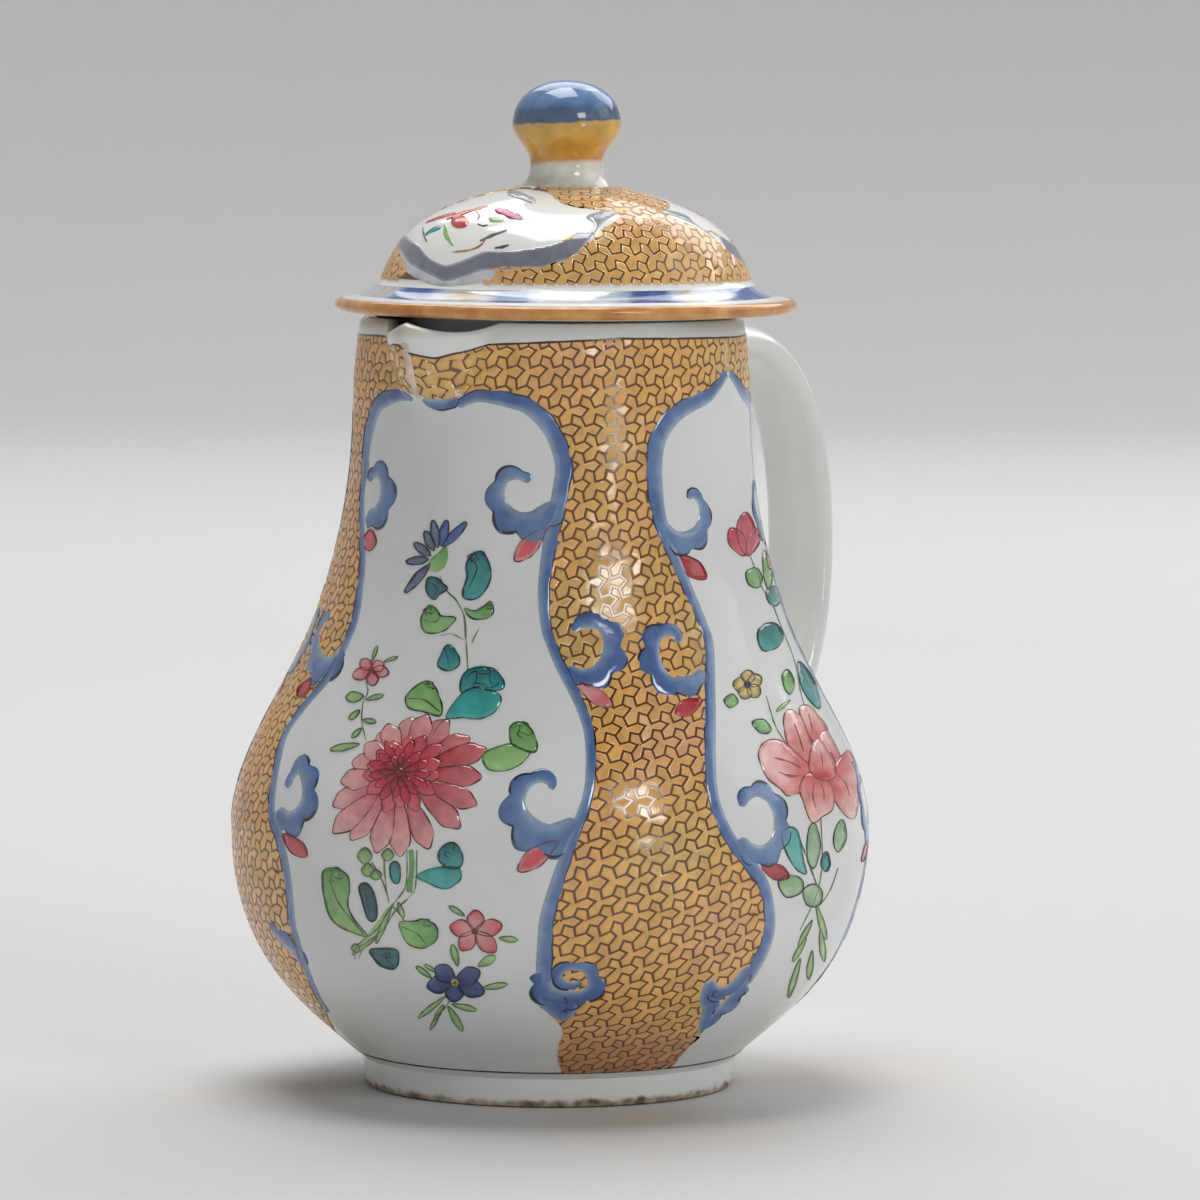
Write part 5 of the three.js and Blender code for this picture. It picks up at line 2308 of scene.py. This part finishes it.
def band_colour(along, across, angles, runs):
    """A pale blue band with darker clouds and a few tan spots."""
    spots = flat_spots(angles * band_radius, runs)
    drift = noise_at(spots, 1.6, 2.0)
    cloud, tan = np.zeros_like(angles), np.zeros_like(angles)
    for centre, half, is_tan in band_spots:
        for shift in (0, half_turn):
            off = off_from(angles, centre + shift)
            near = np.clip(1.6 - np.abs(off) / half * 1.3, 0, 1)
            if is_tan:
                tan = np.maximum(tan, near)
            else:
                cloud = np.maximum(cloud, near)
    tone = mix(band_blue, cloud_blue, np.clip(cloud * 1.1 + drift * 0.5 * (cloud > 0), 0, 1))
    return mix(tone, band_tan, tan * np.clip(0.75 + drift, 0, 1) * (np.abs(across) < 0.9))


ribbon(
    cover_touches, cover_skin, np.stack([band_angles, np.full_like(band_angles, band_run)], 1),
    np.full_like(band_angles, band_half_width), band_colour, band_lift, cord_shares,
    closed=True, tilt=0.0,
)

# %% The cover's sprays
orange_red = hue(208, 92, 68)
soft_red = hue(206, 96, 96)
magenta = hue(186, 70, 122)
grey_stroke = hue(118, 128, 132)
strokes = (
    (((427, 222), (441, 217), (456, 213)), 1.4, soft_red),
    (((447, 219), (463, 213), (477, 209)), 1.7, orange_red),
    (((470, 211), (480, 208), (488, 206)), 1.2, orange_red),
    (((424, 236), (432, 230), (441, 228)), 1.5, teal),
    (((497, 209), (504, 212), (512, 213)), 1.5, magenta),
    (((504, 213), (513, 216), (522, 219)), 1.4, magenta),
    (((490, 218), (496, 220), (503, 221)), 1.2, leaf_pale),
    (((445, 225), (447, 236), (453, 245)), 0.9, leaf_pale),
    (((480, 241), (493, 235), (507, 230)), 0.8, grey_stroke),
    (((495, 248), (502, 247), (509, 245)), 0.7, grey_stroke * 0.6),
    (((453, 252), (470, 250), (481, 245), (486, 238)), 0.4, ochre_brown),
    (((476, 211), (479, 215), (478, 220)), 0.25, ink),
    (((478, 224), (483, 226), (488, 225)), 0.25, ink),
    (((423, 227), (424, 235), (427, 242)), 0.25, ink),
    (((562, 241), (570, 238), (577, 233)), 0.7, yellow),
    (((536, 188), (548, 183), (560, 181), (576, 179), (590, 179), (612, 184)), 0.5, ochre_brown),
)
for points, width, colour in strokes:
    cover_brush.pen(points, width, colour, lift=0.1, spacing=1.6)
cover_brush.fill(dot(460, 222, 9, 6.5), soft_red, orange_red, (0, -1))
for layer, material in (
    (cover_net, ground_enamel), (cover_tiles, ground_enamel), (cover_touches, thick_enamel),
    (cover_lines, thick_enamel),
):
    layer.piece("cover", "enamelled_cover", material)

# %% [markdown]
# ## Brim edge and knob
# The brim's edge is wiped with a warm orange glaze, and the knob is dipped: blue at
# the top, a gold belt below, and white where it meets the cover. Both are bands by
# height or reach, so the shader mixes them by place, with a noise to fray them.


# %% Brim edge and knob
def from_cover_axis(tree):
    """A node that measures a place from the cover's axis."""
    made = node(tree, "ShaderNodeVectorMath", operation="SUBTRACT")
    made.inputs[1].default_value = (cover_x * mm, cover_y * mm, 0)
    return made


def frayed(tree, scale, tremble):
    """A noise, and a node that adds it to a length."""
    fray = node(tree, "ShaderNodeTexNoise", Scale=scale, Detail=3.0)
    shifted = node(tree, "ShaderNodeMath", operation="MULTIPLY_ADD")
    shifted.inputs[1].default_value = tremble * mm
    return fray, shifted


# The bands of the knob: the height of each colour, in millimetres.
knob_stops = (
    (120.9, (232, 234, 228)), (124.6, (236, 236, 228)), (125.3, (214, 154, 78)),
    (126.4, (216, 162, 70)), (129.0, (220, 174, 82)), (130.2, (220, 180, 112)), (130.5, (92, 110, 132)),
    (132.2, (88, 114, 144)), (132.7, (104, 134, 178)), (135.6, (134, 162, 200)),
)
knob_slant = 0.05
knob_fray = 1.1
knob_fray_scale = 260.0
knob_noise_scale = 420.0
knob_roughness = 0.08
knob_low_stop, knob_high_stop = knob_stops[0][0], knob_stops[-1][0]
knob_parts = glaze_material("knob_enamel", white_light, white_dark, knob_roughness)
knob_glaze, tree, shader, place = knob_parts[:4]
centred = from_cover_axis(tree)
height_along = node(tree, "ShaderNodeVectorMath", operation="DOT_PRODUCT")
height_along.inputs[1].default_value = (-rightward[0] * knob_slant, -rightward[1] * knob_slant, 1)
fray, shifted = frayed(tree, knob_fray_scale, knob_fray)
span = node(tree, "ShaderNodeMapRange", From_Min=knob_low_stop * mm, From_Max=knob_high_stop * mm)
bands = ramp_of(tree, [
    ((height - knob_low_stop) / (knob_high_stop - knob_low_stop), colour) for height, colour in knob_stops
])
wire(
    tree,
    (place, "Object", centred, 0),
    (centred, "Vector", height_along, 0),
    (place, "Object", fray, "Vector"),
    (fray, "Fac", shifted, 0),
    (height_along, "Value", shifted, 2),
    (shifted, 0, span, "Value"),
    (span, "Result", bands, "Fac"),
)
clouded(tree, shader, place, bands, knob_noise_scale, 0.2, (0.78, 1.15))
cover_knob.data.materials[0] = knob_glaze

brim_edge_inner = 1.15
brim_edge_outer = 0.75
brim_fray = 0.4
brim_fray_scale = 300.0
# The cover's white is lighter than the jug's, though it is one glaze: painted light, for the overhead lamp
# on the dome. The orange edge is the brim's own colour.
lit_brim_glaze, tree, shader, place, ramp = glaze_material("lit_brim_glaze", (251, 251, 247), (244, 245, 241))
away = from_cover_axis(tree)
flattened = node(tree, "ShaderNodeVectorMath", operation="MULTIPLY")
flattened.inputs[1].default_value = (1, 1, 0)
reach = node(tree, "ShaderNodeVectorMath", operation="LENGTH")
fray, shifted = frayed(tree, brim_fray_scale, brim_fray)
rim_mask = node(
    tree, "ShaderNodeMapRange",
    From_Min=(brim_radius - brim_edge_inner) * mm, From_Max=(brim_radius - brim_edge_outer) * mm,
)
rim_tone = ramp_of(tree, ((0.35, (196, 130, 70)), (0.65, (224, 168, 104))))
rim_mix = node(tree, "ShaderNodeMix", data_type="RGBA")
wire(
    tree,
    (place, "Object", away, 0),
    (away, "Vector", flattened, 0),
    (flattened, "Vector", reach, 0),
    (place, "Object", fray, "Vector"),
    (fray, "Fac", shifted, 0),
    (reach, "Value", shifted, 2),
    (shifted, 0, rim_mask, "Value"),
    (fray, "Fac", rim_tone, "Fac"),
    (rim_mask, "Result", rim_mix, 0),
    (ramp, "Color", rim_mix, 6),
    (rim_tone, "Color", rim_mix, 7),
    (rim_mix, 2, shader, "Base Color"),
)
cover_shell.data.materials[0] = lit_brim_glaze
